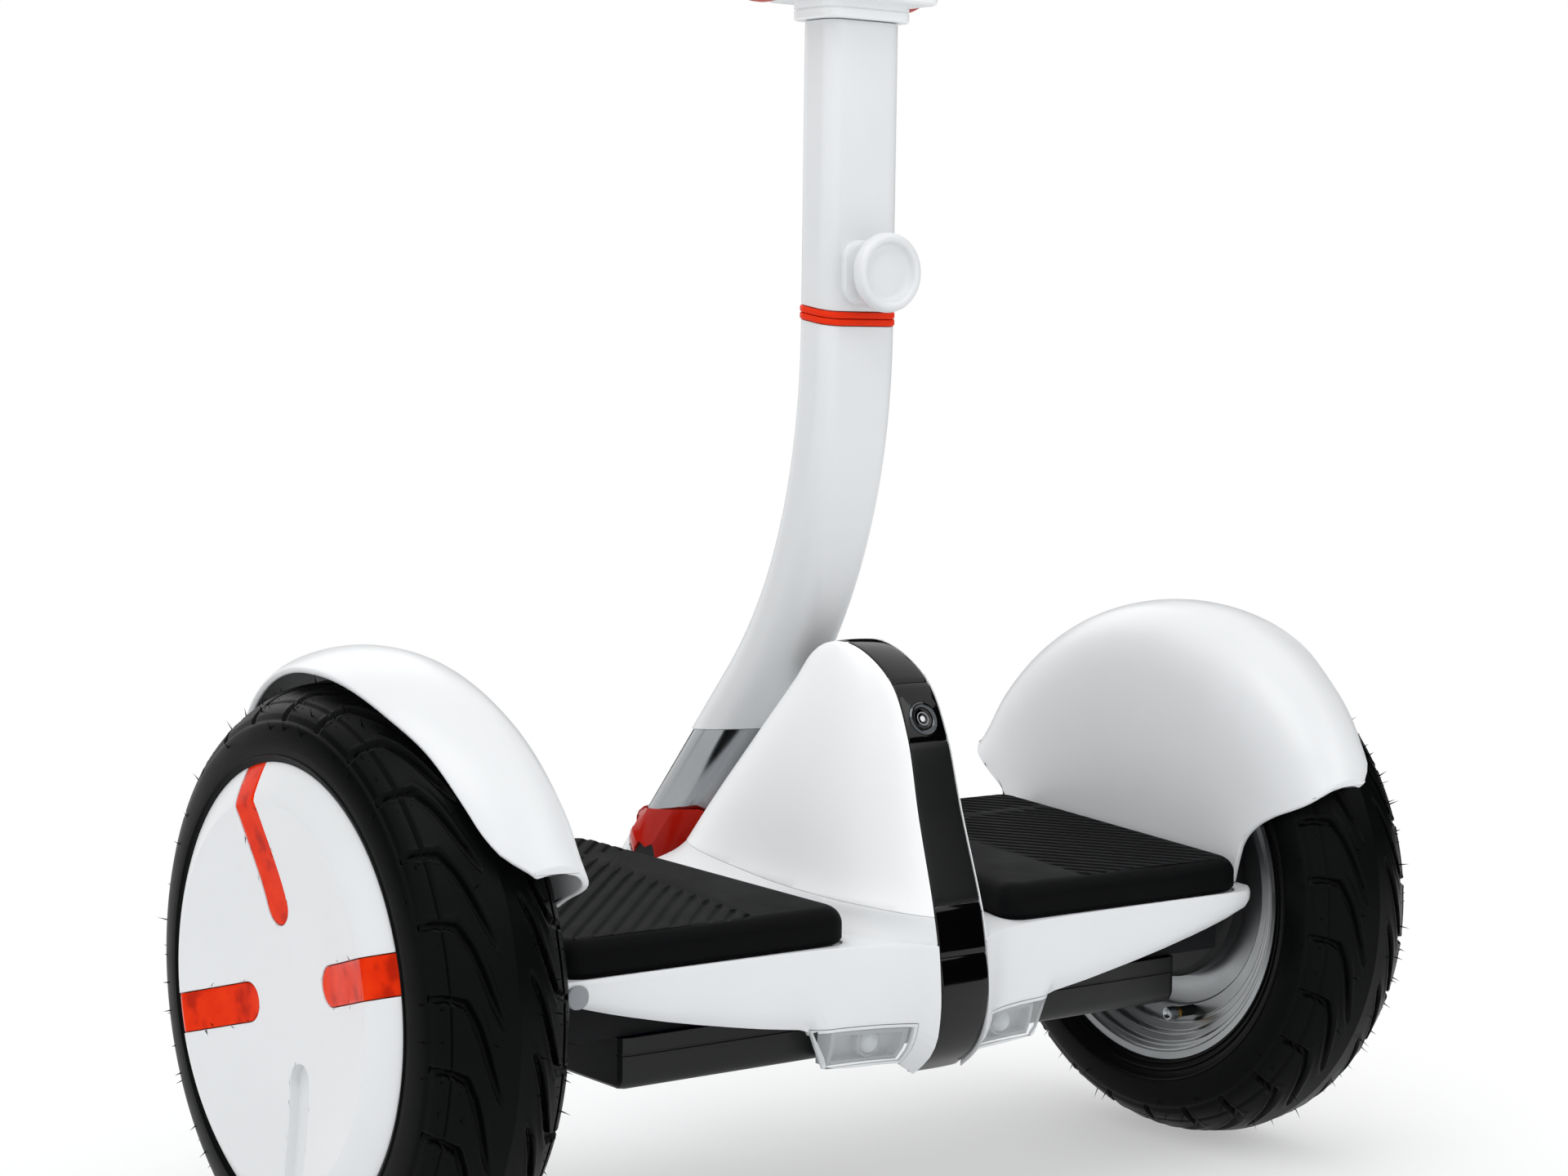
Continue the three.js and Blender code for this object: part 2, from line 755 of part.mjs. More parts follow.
// Button place and direction on the rear slope
const buttonShare = ridgeAt(buttonHeight);
const buttonFrame = ridgeFrame(buttonShare);

function alongButton(profile, segments = smallSegments) {
  const toward = new THREE.Quaternion().setFromUnitVectors(new THREE.Vector3(0, 0, 1), buttonFrame.out);
  return turnedAboutZ(profile, segments).applyQuaternion(toward)
    .translate(buttonFrame.at.x, buttonFrame.at.y, buttonFrame.at.z);
}

function rod(radius, low, high) {
  return [[low, 0], [low, radius], [high, radius], [high, 0]];
}

// Hump: level sections, each from the strip's line at the back to the flat that faces the bar
const sideSteps = [0, 0.03, 0.12, 0.3, 0.5, 0.7, 0.86, 0.96, 1];
const sideBow = 0.68;
const sideShares = [0, 0.16, 0.44, 0.84, 1, 0.93, 0.76, 0.5, 0.28];

function frontReach(height) {
  const share = Math.min(Math.max((height - humpBase) / (humpPeak - humpBase), 0), 1);
  const line = [[0, 0.727], [0.2, 0.566], [0.59, 0.208], [0.836, -0.02], [0.945, -0.11], [0.985, -0.18],
    [1, -0.24]];
  return humpRearReach * table(line, share);
}

function humpRing(height, inset, rearInset = inset * 1.8, frontInset = inset * 1.2) {
  const level = Math.max(height, deckTop);
  const rear = ridge.getPointAt(ridgeAt(Math.min(level, humpPeak - touchGap))).y;
  const front = frontReach(level);
  const fall = Math.min(Math.max((humpPeak - level) / (humpPeak - humpBase), 0), 1);
  const edge = mix(stripTopHalf, stripLowHalf, fall) + stripLedge;
  const flare = humpFlare * Math.exp(-Math.max(level - humpBase, 0) / humpFlareHeight);
  const widest = mix(humpTopHalf, humpBaseHalf, Math.pow(fall, sideBow)) + flare - inset;
  const [y0, y1] = [rear + rearInset, front - frontInset];
  const points = [];
  sideSteps.forEach((step, i) => {
    const end = mix(edge, widest, i > 4 ? 0.2 : 0);
    points.push([mix(end, widest, sideShares[i]), mix(y0, y1, step)]);
  });
  const left = [...points].reverse().map(([x, y]) => [-x, y]);
  return [...points, ...left].map(([x, y]) => new THREE.Vector3(x, y, height));
}

const levelShares = [-0.12, 0, 0.04, 0.1, 0.2, 0.35, 0.5, 0.65, 0.77, 0.87, 0.94, 0.98, 1];

function humpLoft(inset, topDrop) {
  return solid(loft(levelShares.map((share) => {
    const height = mix(humpBase, humpPeak, share);
    return humpRing(height - topDrop * Math.max(share, 0), inset);
  })));
}

function bigPlan() {
  const reach = deckHalfLength * 2;
  return [[-reach, -reach], [reach, -reach], [reach, reach], [-reach, reach]];
}

function below(height) {
  return solid(slab(bigPlan(), -deckHalfLength * 2, height));
}

function buildHump() {
  const groove = stripBand(stripEnds.front, 1, touchGap, stripThickness, stripSteps * 4);
  const pocket = solid(alongButton(rod(bezelRadius + bezelClearance, -overrun / 2, overrun)));
  const shell = humpLoft(0, 0)
    .subtract(humpLoft(humpWall + stripThickness, humpWall + stripThickness).subtract(below(-overrun)))
    .subtract(below(plinthRise + touchGap))
    .subtract(groove)
    .subtract(pocket);
  add('hump_cover', shell, white);
}

function buildStrip() {
  const piece = (name, from, to, finish, steps = stripSteps) => {
    const length = ridge.getLength();
    const cut = seamGap / 2 / length;
    const band = stripBand(from + cut, to - cut, 0, stripThickness, steps);
    return [name, band, finish];
  };
  const bands = [
    piece('strip_crown', stripEnds.front, stripEnds.crown, gloss, stripSteps * 2),
    piece('strip_button_panel', stripEnds.crown, stripEnds.button, gloss),
    piece('strip_spine', stripEnds.button, stripEnds.spine, black),
    piece('strip_link', stripEnds.spine, stripEnds.link, gloss, stripSteps / 2),
    piece('strip_tail', stripEnds.link, stripEnds.tail, gloss, stripSteps * 1.5),
  ];
  const hole = solid(alongButton(rod(bezelRadius + touchGap, -overrun, overrun)));
  bands.forEach(([name, band, finish]) => {
    add(name, name === 'strip_button_panel' ? band.subtract(hole) : band, finish);
  });
  const seat = -stripThickness;
  add('button_bezel', alongButton([
    [seat, buttonRadius + touchGap], [seat, bezelRadius], [bezelProud / 2, bezelRadius],
    [bezelProud, bezelRadius - bezelProud * 1.5], [0, buttonRadius + touchGap],
  ], mediumSegments), steel);
  add('power_button', alongButton(rod(buttonRadius, -buttonDepth, 0), mediumSegments), gloss);
}

// Deck cover with its plinth under the hump
function plinthRing(rise, grow) {
  return humpRing(deckTop + Math.max(rise, 0), -grow, 0, -grow)
    .map((p) => new THREE.Vector3(p.x, p.y, deckPlane(p.y) + rise));
}

const plinthShares = [[0.15, 1], [0.5, 0.4], [1, 0.1]];

function plinthLoft() {
  return solid(loft([
    plinthRing(-matRecess, plinthSpread),
    ...plinthShares.map(([up, spread]) => plinthRing(plinthRise * up, plinthSpread * spread)),
  ]));
}

function lensPrism(side, grow) {
  const [inner, outer] = [lensInner - grow, lensOuter + grow];
  const [low, high] = [lensBottom - (grow > 0 ? overrun : 0), lensTop + grow];
  const outline = [[inner, low], [outer - lensCut, low], [outer, high], [inner, high]];
  const placed = outline.map(([x, z]) => [side * x, z]);
  return solid(alongY(placed, -deckRear - overrun, -deckRear + skirtTuck * 2));
}

function portOutline(halfWidth, halfHeight) {
  return roundedRing(halfWidth, halfHeight, halfHeight - touchGap, 3)
    .map(([x, z]) => [portX + x, portHeight + z]);
}

function portFace() {
  return -deckRear - skirtTuck * sideRearShares[1];
}

// The space over the nose that the leaning bar passes through, bounded by a plane along the bar
function noseCut(grow) {
  const reach = (z) => barPoint(z).y - (collarRadius + noseClearance + grow) / Math.sin(barSteep);
  const [low, high] = [deckKeel, humpPeak];
  const outline = [[reach(low), low], [humpPeak, low], [humpPeak, high], [reach(high), high]];
  return solid(alongX(outline, -noseHalfWidth - grow, noseHalfWidth + grow));
}

function buildDeck() {
  const outer = deckLoft(0, 0, 0, 0).subtract(noseCut(0));
  const inner = deckLoft(deckWall, matRecess + deckWall, overrun, deckWall).subtract(noseCut(deckWall));
  let cover = outer.add(plinthLoft().subtract(noseCut(0))).subtract(inner);
  const duct = humpBaseHalf / 2;
  cover = cover.subtract(solid(box(-duct, duct, -deckRear * 0.8, deckFront / 2, deckTop - overrun, humpPeak)));
  [-1, 1].forEach((side) => {
    cover = cover.subtract(recess(side)).subtract(tabSlab(side, tabClearance, -overrun, overrun));
    cover = cover.subtract(lensPrism(side, touchGap));
    const axleWay = rod(axleRadius + axleClearance, frameHalfLength - trackHalf, overrun);
    cover = cover.subtract(solid(wheelTurned(side, axleWay, smallSegments)));
  });
  const groove = stripBand(stripEnds.front, 1, touchGap, stripThickness, stripSteps * 4);
  const shaftHole = solid(turnedAboutY(rod(shaftRadius + shaftClearance, 0, deckNose + overrun), smallSegments)
    .translate(0, 0, pivotHeight));
  const port = solid(alongY(portOutline(socketHalfWidth + touchGap, socketHalfHeight + touchGap),
    -deckRear - overrun, deckWall - frameRear));
  cover = cover.subtract(groove).subtract(shaftHole).subtract(port);
  add('deck_cover', cover, white);
}

function buildPort() {
  const face = portFace() - portGap;
  const plate = solid(alongY(portOutline(portHalfWidth, portHalfHeight), face - portPlateThickness, face));
  const plug = solid(alongY(portOutline(portPlugHalfWidth, portPlugHalfHeight),
    face - portPlateThickness / 2, face + portPlugDepth));
  add('charge_port_cover', plate.add(plug), grey);

  const start = portFace() + touchGap;
  const body = solid(alongY(portOutline(socketHalfWidth, socketHalfHeight), start, start + socketLength));
  const bore = solid(alongY(portOutline(socketHalfWidth - socketWall, socketHalfHeight - socketWall),
    start - overrun, start + socketLength - socketWall * 2));
  add('charge_socket', body.subtract(bore), black);
}

function buildTailLight(side, label) {
  const outer = deckLoft(0, 0, 0, 0);
  const back = deckLoft(lensWall, 0, overrun, 0);
  const lens = outer.subtract(back).intersect(lensPrism(side, 0));
  add(`${label}_tail_lens`, lens, clear);

  const rim = housingWall;
  const [x0, x1] = [lensInner + rim, lensOuter - lensCut - rim];
  const [z0, z1] = [lensBottom + rim, lensTop - rim];
  const span = solid(box(Math.min(side * x0, side * x1), Math.max(side * x0, side * x1),
    -deckRear - tailBulge, -batteryHalfDepth - lampGap, z0, z1));
  const face = deckLoft(lensWall + touchGap, 0, overrun, 0);
  const hollow = deckLoft(lensWall + housingWall * 3, 0, overrun, 0);
  const [w0, w1] = [x0 + rim, x1 - rim];
  const pocket = solid(box(Math.min(side * w0, side * w1), Math.max(side * w0, side * w1),
    -deckRear - tailBulge, 0, z0 + rim, z1 - rim)).subtract(hollow);
  const dome = solid(new THREE.SphereGeometry(ledRadius, smallSegments / 2, smallSegments / 4)
    .translate(side * ledPlace, -deckRear - skirtTuck / 2 + lensWall + housingWall, ledHeight));
  add(`${label}_tail_lamp`, span.intersect(face).subtract(pocket).add(dome.intersect(face)), grey);
}

// Frame: an open tray with bosses for the axles and seats for the steering bearings
function bearingSeat(place) {
  const [low, high] = [place - shaftBearingWidth / 2, place + shaftBearingWidth / 2];
  return solid(turnedAboutY(rod(shaftBearingRadius + shaftBearingWall, low, high), mediumSegments)
    .translate(0, 0, pivotHeight));
}

function frontBearingPlace() {
  return frameFront - shaftBearingWidth / 2;
}

function buildFrame() {
  const floor = batteryTop + touchGap;
  const outer = solid(box(-frameHalfLength, frameHalfLength, -frameRear, frameFront, floor, frameTop));
  const inner = solid(box(frameWall - frameHalfLength, frameHalfLength - frameWall,
    frameWall - frameRear, frameFront - frameWall, floor + frameFloor, frameTop + overrun));
  let frame = outer.subtract(inner);
  const places = [rearBearingPlace, frontBearingPlace()];
  const post = shaftBearingRadius + shaftBearingWall;
  places.forEach((place) => {
    const half = shaftBearingWidth / 2;
    const foot = solid(box(-post, post, place - half, place + half, floor, pivotHeight));
    const trim = solid(box(-overrun, overrun, -overrun, frameFront + overrun, floor, humpPeak));
    frame = frame.add(foot).add(bearingSeat(place).intersect(trim));
  });
  places.forEach((place) => {
    frame = frame.subtract(solid(turnedAboutY(
      rod(shaftBearingRadius + touchGap, place - shaftBearingWidth, place + shaftBearingWidth),
      mediumSegments).translate(0, 0, pivotHeight)));
  });
  const saddle = solid(box(-bushRadius, bushRadius, shaftRear, shaftRear + bushLength, floor,
    pivotHeight - bushRadius / 2));
  frame = frame.add(saddle).subtract(solid(turnedAboutY(
    rod(bushRadius + touchGap, shaftRear - overrun, shaftRear + bushLength + touchGap), mediumSegments)
    .translate(0, 0, pivotHeight)));
  [-1, 1].forEach((side) => {
    const start = frameHalfLength - frameWall - axleBossLength - trackHalf;
    const end = frameHalfLength + axleBossLength - trackHalf;
    const boss = solid(wheelTurned(side, rod(axleBossRadius, start, end), mediumSegments));
    const bore = solid(wheelTurned(side, rod(axleRadius + touchGap, start, end + overrun), smallSegments));
    frame = frame.add(boss.subtract(bore)).subtract(bore);
  });
  add('chassis_frame', frame, black);
}

function roundedTray(halfX, halfY, low, high, edge) {
  return solid(alongX([
    [-halfY, high], [-halfY, low + edge], [-halfY + edge * 0.3, low + edge * 0.3], [-halfY + edge, low],
    [halfY - edge, low], [halfY - edge * 0.3, low + edge * 0.3], [halfY, low + edge], [halfY, high],
  ], -halfX, halfX));
}

function buildBattery() {
  const outer = roundedTray(batteryHalfLength, batteryHalfDepth, batteryBottom, batteryTop, batteryEdge);
  const inner = roundedTray(batteryHalfLength - batteryWall, batteryHalfDepth - batteryWall,
    batteryBottom + batteryWall, batteryTop + overrun, batteryEdge - batteryWall);
  add('battery_case', outer.subtract(inner), black);

  const steps = 4;
  const middle = batteryBottom + batteryWall + touchGap + cellRadius;
  const start = -cellPitch * (cellCount - 1) / 2;
  const top = [];
  for (let i = 0; i < cellCount; i += 1) {
    for (let k = 0; k <= steps; k += 1) {
      const angle = pi * (0.92 - 0.84 * k / steps);
      top.push([start + i * cellPitch + cellRadius * Math.cos(angle), cellRadius * Math.sin(angle)]);
    }
  }
  const bottom = [...top].reverse().map(([x, z]) => [x, -z]);
  const outline = [...top, ...bottom].map(([x, z]) => [x, middle + z]);
  add('battery_pack', alongY(outline, -cellRowLength / 2, cellRowLength / 2), blue);
}

function buildBoard() {
  const left = frameWall * 2 + axleBossLength - frameHalfLength;
  const floor = batteryTop + touchGap + frameFloor;
  const level = floor + touchGap + boardStand;
  const right = left + boardLength;
  const [rear, front] = [-boardDepth / 2, boardDepth / 2];
  let board = solid(box(left, right, rear, front, level, level + boardThickness));
  const placeShares = [[0.14, 0.16], [0.5, 0.2], [0.82, 0.3], [0.3, 0.72], [0.75, 0.78]];
  const sizeShares = [[0.1, 0.1, 0.8], [0.2, 0.12, 0.4], [0.1, 0.2, 0.9], [0.22, 0.16, 0.6], [0.14, 0.1, 0.7]];
  placeShares.forEach(([u, v], i) => {
    const [w, d, h] = sizeShares[i];
    const [x, y] = [mix(left, right, u), mix(rear, front, v)];
    board = board.add(solid(box(x - w * boardLength / 2, x + w * boardLength / 2, y - d * boardDepth / 2,
      y + d * boardDepth / 2, level + boardThickness / 2, level + boardThickness + h * boardStand)));
  });
  const footShares = [[0.06, 0.06], [0.94, 0.06], [0.94, 0.94], [0.06, 0.94]];
  footShares.forEach(([u, v]) => {
    const [x, y] = [mix(left, right, u), mix(rear, front, v)];
    board = board.add(solid(new THREE.CylinderGeometry(boardStand / 2, boardStand / 2, boardStand * 1.2, 8)
      .rotateX(pi / 2).translate(x, y, floor + touchGap + boardStand * 0.6)));
  });
  add('control_board', board, green);
}

// Steering
function barPoint(height) {
  return new THREE.Vector3(0, barFootY - (height - barFootZ) / Math.tan(barSteep), height);
}

const barDirection = new THREE.Vector3(0, -Math.cos(barSteep), Math.sin(barSteep));
const collarHalfRise = collarLength * Math.sin(barSteep) / 2;
const collarMiddle = barFootZ - collarHalfRise;

// Turned about the bar's leaning foot, with distances measured up it from the collar's middle
function alongFoot(profile, segments) {
  const toward = new THREE.Quaternion().setFromUnitVectors(new THREE.Vector3(0, 0, 1), barDirection);
  const at = barPoint(collarMiddle);
  return turnedAboutZ(profile, segments).applyQuaternion(toward).translate(at.x, at.y, at.z);
}

// Everything above the nearly level plane where two pieces of the leaning foot meet, taken at its axis
function aboveJoint(height) {
  const reach = deckHalfLength;
  const middle = barPoint(height).y;
  const rise = jointSlope * reach;
  const outline = [[middle - reach, height + rise], [middle + reach, height - rise],
    [middle + reach, height + reach], [middle - reach, height + reach]];
  return solid(alongX(outline, -reach, reach));
}

function steeringFront() {
  return deckNose + noseGap;
}

const collarFacets = 12;

function buildSteering() {
  [['rear', rearBearingPlace], ['front', frontBearingPlace()]].forEach(([name, place]) => {
    const [low, high] = [place - shaftBearingWidth / 2, place + shaftBearingWidth / 2];
    add(`${name}_shaft_bearing`, turnedAboutY([
      [low, shaftRadius + touchGap], [low, shaftBearingRadius],
      [high, shaftBearingRadius], [high, shaftRadius + touchGap],
    ], mediumSegments).translate(0, 0, pivotHeight), steel);
  });
  add('centring_bush', turnedAboutY([
    [shaftRear, shaftRadius + touchGap], [shaftRear, bushRadius],
    [shaftRear + bushLength, bushRadius], [shaftRear + bushLength, shaftRadius + touchGap],
  ], mediumSegments).translate(0, 0, pivotHeight), rubber);

  const half = collarLength / 2;
  const disc = solid(turnedAboutY(rod(knuckleRadius, steeringFront(), knuckleFront), roundSegments)
    .translate(0, 0, pivotHeight));
  const boss = solid(alongFoot(rod(collarRadius - collarTaper, -half - overrun / 2, -half - touchGap),
    roundSegments));
  const keep = solid(box(-overrun, overrun, steeringFront(), knuckleReach, batteryBottom, humpPeak));
  const seat = solid(alongFoot(rod(collarRadius + noseClearance, -half - touchGap, overrun), roundSegments));
  const socket = solid(alongFoot(rod(spigotRadius + touchGap, -half - spigotSocket, overrun), roundSegments));
  const shaft = solid(turnedAboutY(rod(shaftRadius, shaftRear, steeringFront() + touchGap), smallSegments)
    .translate(0, 0, pivotHeight));
  add('steering_knuckle', disc.subtract(seat).add(boss).intersect(keep).add(shaft).subtract(socket), white);

  const collarBlank = solid(alongFoot([
    [-half, 0], [-half, collarRadius - collarTaper], [0, collarRadius + collarTaper],
    [half, collarRadius], [overrun, collarRadius], [overrun, 0],
  ], collarFacets));
  const collarBore = solid(alongFoot(rod(spigotRadius + touchGap, -overrun, overrun), roundSegments));
  add('bar_base_collar', collarBlank.subtract(collarBore).subtract(aboveJoint(collarTop)), redClear);

  const bottom = -half - spigotSocket + touchGap;
  const tubeStart = (barTubeFoot - collarMiddle) / Math.sin(barSteep);
  const body = solid(alongFoot(rod(spigotRadius, bottom, tubeStart + overrun), roundSegments));
  const neck = solid(alongFoot(rod(spigotNeck, bottom, tubeStart + spigotRadius), roundSegments));
  const bore = solid(alongFoot(rod(spigotNeck - spigotWall, bottom - overrun, tubeStart + overrun * 2),
    roundSegments));
  add('bar_spigot', body.subtract(aboveJoint(barTubeFoot - touchGap)).add(neck).subtract(bore), steel);
}

// The bent tube: a round foot that turns into the sleeve's rounded section
function ringBottom() {
  return sleeveBottom - touchGap - ringHeight * 2 - touchGap;
}

function barCurve() {
  const bendFoot = barPoint(barTubeFoot + spigotRadius);
  const corner = barPoint(barFootZ + (barFootY - barUprightY) * Math.tan(barSteep));
  const top = new THREE.Vector3(0, barUprightY, ringBottom() - touchGap);
  const path = new THREE.CurvePath();
  path.add(new THREE.LineCurve3(barPoint(barTubeFoot), bendFoot));
  path.add(new THREE.QuadraticBezierCurve3(bendFoot, corner, top));
  return path;
}

function barTubeRings(inset, footOverrun, topOverrun) {
  const path = barCurve();
  const steps = 10;
  const rings = [];
  for (let i = 0; i <= steps; i += 1) {
    const share = i / steps;
    const at = path.getPointAt(share);
    const along = path.getTangentAt(share);
    if (i === 0) at.addScaledVector(along, -footOverrun);
    if (i === steps) at.addScaledVector(along, topOverrun);
    const across = new THREE.Vector3(1, 0, 0);
    const deep = new THREE.Vector3().crossVectors(along, across);
    const turn = Math.min(Math.max((share - 0.08) / 0.8, 0), 1);
    const smooth = turn * turn * (3 - 2 * turn);
    const outline = roundedRing(
      mix(barRoundHalf, sleeveHalfWidth, smooth) - inset, mix(barRoundHalf, sleeveHalfDepth, smooth) - inset,
      mix(barRoundCorner, sleeveCorner, smooth) - inset, 4);
    rings.push(outline.map(([x, d]) => at.clone().addScaledVector(across, x).addScaledVector(deep, d)));
  }
  return rings;
}

function upright(halfX, halfY, corner, low, high) {
  return solid(alongZ(roundedRing(halfX, halfY, corner, 4), low, high).translate(0, barUprightY, 0));
}

function hollowUpright(halfX, halfY, corner, wall, low, high) {
  return upright(halfX, halfY, corner, low, high)
    .subtract(upright(halfX - wall, halfY - wall, corner - wall, low - overrun, high + overrun));
}

const postHalfWidth = sleeveHalfWidth - sleeveWall - runningGap;
const postHalfDepth = sleeveHalfDepth - sleeveWall - runningGap;

function buildBar() {
  const tube = solid(loft(barTubeRings(0, overrun, 0)))
    .subtract(solid(loft(barTubeRings(barWall, overrun * 2, touchGap))));
  add('bar_tube', tube.intersect(aboveJoint(barTubeFoot)), white);
  const wall = sleeveWall + ringProud;
  const corner = sleeveCorner + ringProud;
  const ring = (low) => hollowUpright(sleeveHalfWidth + ringProud, sleeveHalfDepth + ringProud, corner, wall,
    low, low + ringHeight);
  add('lower_ring', ring(ringBottom()), orange);
  add('upper_ring', ring(ringBottom() + ringHeight + touchGap), orange);
  const postTop = sleeveTop + headHeight - headWall - postHeadroom;
  add('inner_post', hollowUpright(postHalfWidth, postHalfDepth, sleeveCorner - sleeveWall - runningGap, postWall,
    postFoot, postTop), silver);
}

function knobTurned(profile, segments) {
  return turnedAboutZ(profile, segments).rotateX(pi / 2)
    .translate(0, barUprightY - sleeveHalfDepth, knobHeight);
}

function buildSleeve() {
  const bossShape = roundedRing(flangeHalfWidth, flangeHalfHeight, flangeHalfWidth * 0.6)
    .map(([x, z]) => [x, knobHeight + z]);
  const face = barUprightY - sleeveHalfDepth;
  const flange = solid(alongY(bossShape, face - flangeThickness, face + sleeveWall / 2));
  const screwHole = solid(knobTurned(rod(clampScrewRadius + touchGap, -sleeveHalfDepth, overrun), smallSegments));
  const tube = hollowUpright(sleeveHalfWidth, sleeveHalfDepth, sleeveCorner, sleeveWall, sleeveBottom, sleeveTop);
  add('sleeve', tube.add(flange).subtract(screwHole), white);

  const start = flangeThickness + touchGap;
  const profileShares = [[0, 0.5], [0.22, 0.52], [0.5, 0.82], [0.66, 0.98], [0.8, 1], [0.95, 0.9], [0.94, 0.68],
    [0.78, 0.55], [0.74, 0]];
  const screwTip = sleeveWall + runningGap - touchGap;
  const knob = [[-screwTip, 0], [-screwTip, clampScrewRadius], [start, clampScrewRadius],
    ...profileShares.map(([along, radius]) => [start + along * knobLength, radius * knobRadius])];
  add('clamp_knob', knobTurned(knob, mediumSegments), white);
}

function wingOutline(reach) {
  return roundedRing(reach, wingHalfDepth, headCorner).map(([x, y]) => [x, barUprightY + y]);
}

function buildHead() {
  const low = sleeveTop + touchGap;
  const top = sleeveTop + headHeight;
  const block = upright(headHalfWidth, headHalfDepth, headCorner, low, top);
  const wings = solid(alongZ(wingOutline(wingReach), low + wingBottomRise, top - wingTopDrop));
  const hollow = upright(sleeveHalfWidth - sleeveWall, sleeveHalfDepth - sleeveWall, sleeveCorner - sleeveWall,
    low - overrun, top - headWall);
  add('head_block', block.add(wings).subtract(hollow), white);
}

// A knee pad bulges outward from its flat back
function buildPad(side, label) {
  const depthShares = [[0, 0.86], [0.3, 1], [0.62, 0.94], [0.85, 0.72], [1, 0.28]];
  const middle = sleeveTop + padCentreRise;
  const rings = depthShares.map(([along, size]) => {
    const x = side * (wingReach + touchGap + along * padThickness);
    return roundedRing(padHalfDepth * size, padHalfHeight * size, padHalfHeight * size * 0.7, 4)
      .map(([y, z]) => new THREE.Vector3(x, barUprightY + y, middle + z));
  });
  add(`${label}_knee_pad`, solid(loft(rings)), coral);
}

// Fenders: sections round the wheel, each from the flank over the roof to the outer edge
const fenderRoofShares = [[0, 0.1], [0, 0.7], [0.02, 0.8], [0.09, 0.9], [0.22, 0.962], [0.42, 0.996], [0.64, 1],
  [0.85, 0.982], [1, 0.945]];

// The reach of the roof at each share of a quarter turn, from the front to the rear
const fenderReachShares = [[-0.78, 0.07], [-0.744, 0.256], [-0.7, 0.442], [-0.644, 0.581], [-0.556, 0.69],
  [-0.444, 0.767], [-0.3, 0.86], [-0.156, 0.938], [0, 1], [0.167, 0.984], [0.267, 0.953], [0.4, 0.86],
  [0.522, 0.798], [0.644, 0.69], [0.689, 0.55], [0.733, 0.38], [0.756, 0.178], [0.78, 0.07]];

const fenderSideShares = [[-0.56, 0.05], [-0.61, 0.18], [-0.68, 0.24], [-0.78, 0.307], [-0.875, 0.357],
  [-1.1, 0.4], [-1.1, 1.2], [1.1, 1.2], [1.1, 0.44], [0.88, 0.38], [0.77, 0.307], [0.69, 0.25], [0.65, 0.18],
  [0.62, 0.05]];

function fenderRing(side, turn) {
  const reach = (fenderEdge - fenderFlank) * table(fenderReachShares, turn);
  const width = Math.max(reach, fenderLeastReach);
  const outer = fenderRoofShares.map(([u, r]) => new THREE.Vector2(fenderFlank + u * width, r * fenderRadius));
  const inner = outer.map((p, i) => {
    const before = outer[Math.max(i - 1, 0)];
    const after = outer[Math.min(i + 1, outer.length - 1)];
    const along = after.clone().sub(before).normalize();
    return p.clone().add(new THREE.Vector2(along.y, -along.x).multiplyScalar(fenderThickness));
  });
  const angle = turn * pi / 2;
  return [...outer, ...inner.reverse()].map((p) =>
    new THREE.Vector3(side * p.x, -p.y * Math.sin(angle), axleHeight + p.y * Math.cos(angle)));
}

function buildFender(side, label) {
  const rings = [];
  for (let i = 0; i <= fenderSteps; i += 1) rings.push(fenderRing(side, mix(-1, 1, i / fenderSteps)));
  const sideView = fenderSideShares.map(([y, z]) => [y * fenderRadius, axleHeight + z * fenderRadius]);
  const keepSide = solid(alongX(sideView, -trackHalf * 2, trackHalf * 2));
  add(`${label}_fender`, solid(loft(rings)).intersect(keepSide).subtract(below(touchGap)), white);
}

buildFrame();
buildBattery();
buildBoard();
buildDeck();
buildHump();
buildStrip();
buildPort();
buildSteering();
buildBar();
buildSleeve();
buildHead();
[[-1, 'left'], [1, 'right']].forEach(([side, label]) => {
  buildWheel(side, label);
  buildFender(side, label);
  buildMat(side, label);
  buildTailLight(side, label);
  buildPad(side, label);
});

export default transporter;
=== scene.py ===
import math
import random
from itertools import product

import bpy
import bmesh
import numpy as np
from mathutils import Matrix, Quaternion, Vector


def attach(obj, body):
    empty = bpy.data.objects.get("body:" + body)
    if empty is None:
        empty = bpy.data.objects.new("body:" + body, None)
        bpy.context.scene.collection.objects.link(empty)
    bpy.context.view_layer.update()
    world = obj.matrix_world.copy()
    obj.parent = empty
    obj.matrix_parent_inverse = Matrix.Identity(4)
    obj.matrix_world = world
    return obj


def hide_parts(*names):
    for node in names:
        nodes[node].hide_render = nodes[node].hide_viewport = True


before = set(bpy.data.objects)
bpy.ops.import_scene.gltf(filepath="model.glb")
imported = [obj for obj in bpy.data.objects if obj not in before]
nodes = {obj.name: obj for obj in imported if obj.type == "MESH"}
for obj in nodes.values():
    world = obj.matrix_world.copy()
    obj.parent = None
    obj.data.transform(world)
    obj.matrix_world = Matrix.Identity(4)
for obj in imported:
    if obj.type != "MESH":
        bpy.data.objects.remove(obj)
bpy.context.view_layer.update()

# Metres in the CAD frame. The rider faces +Y, the wheels turn about X, the ground is z = 0.

# Camera and stage
camera_place = Vector((-0.855106, -1.108219, 0.393652))
camera_yaw = 0.6456841
camera_pitch = 0.0818951
camera_roll = 0.0133047
camera_lens = 71.8647
world_light = 0.9
floor_half = 6.0
floor_glow_share = 0.4
floor_fade_start = 0.34
floor_fade_end = 0.62

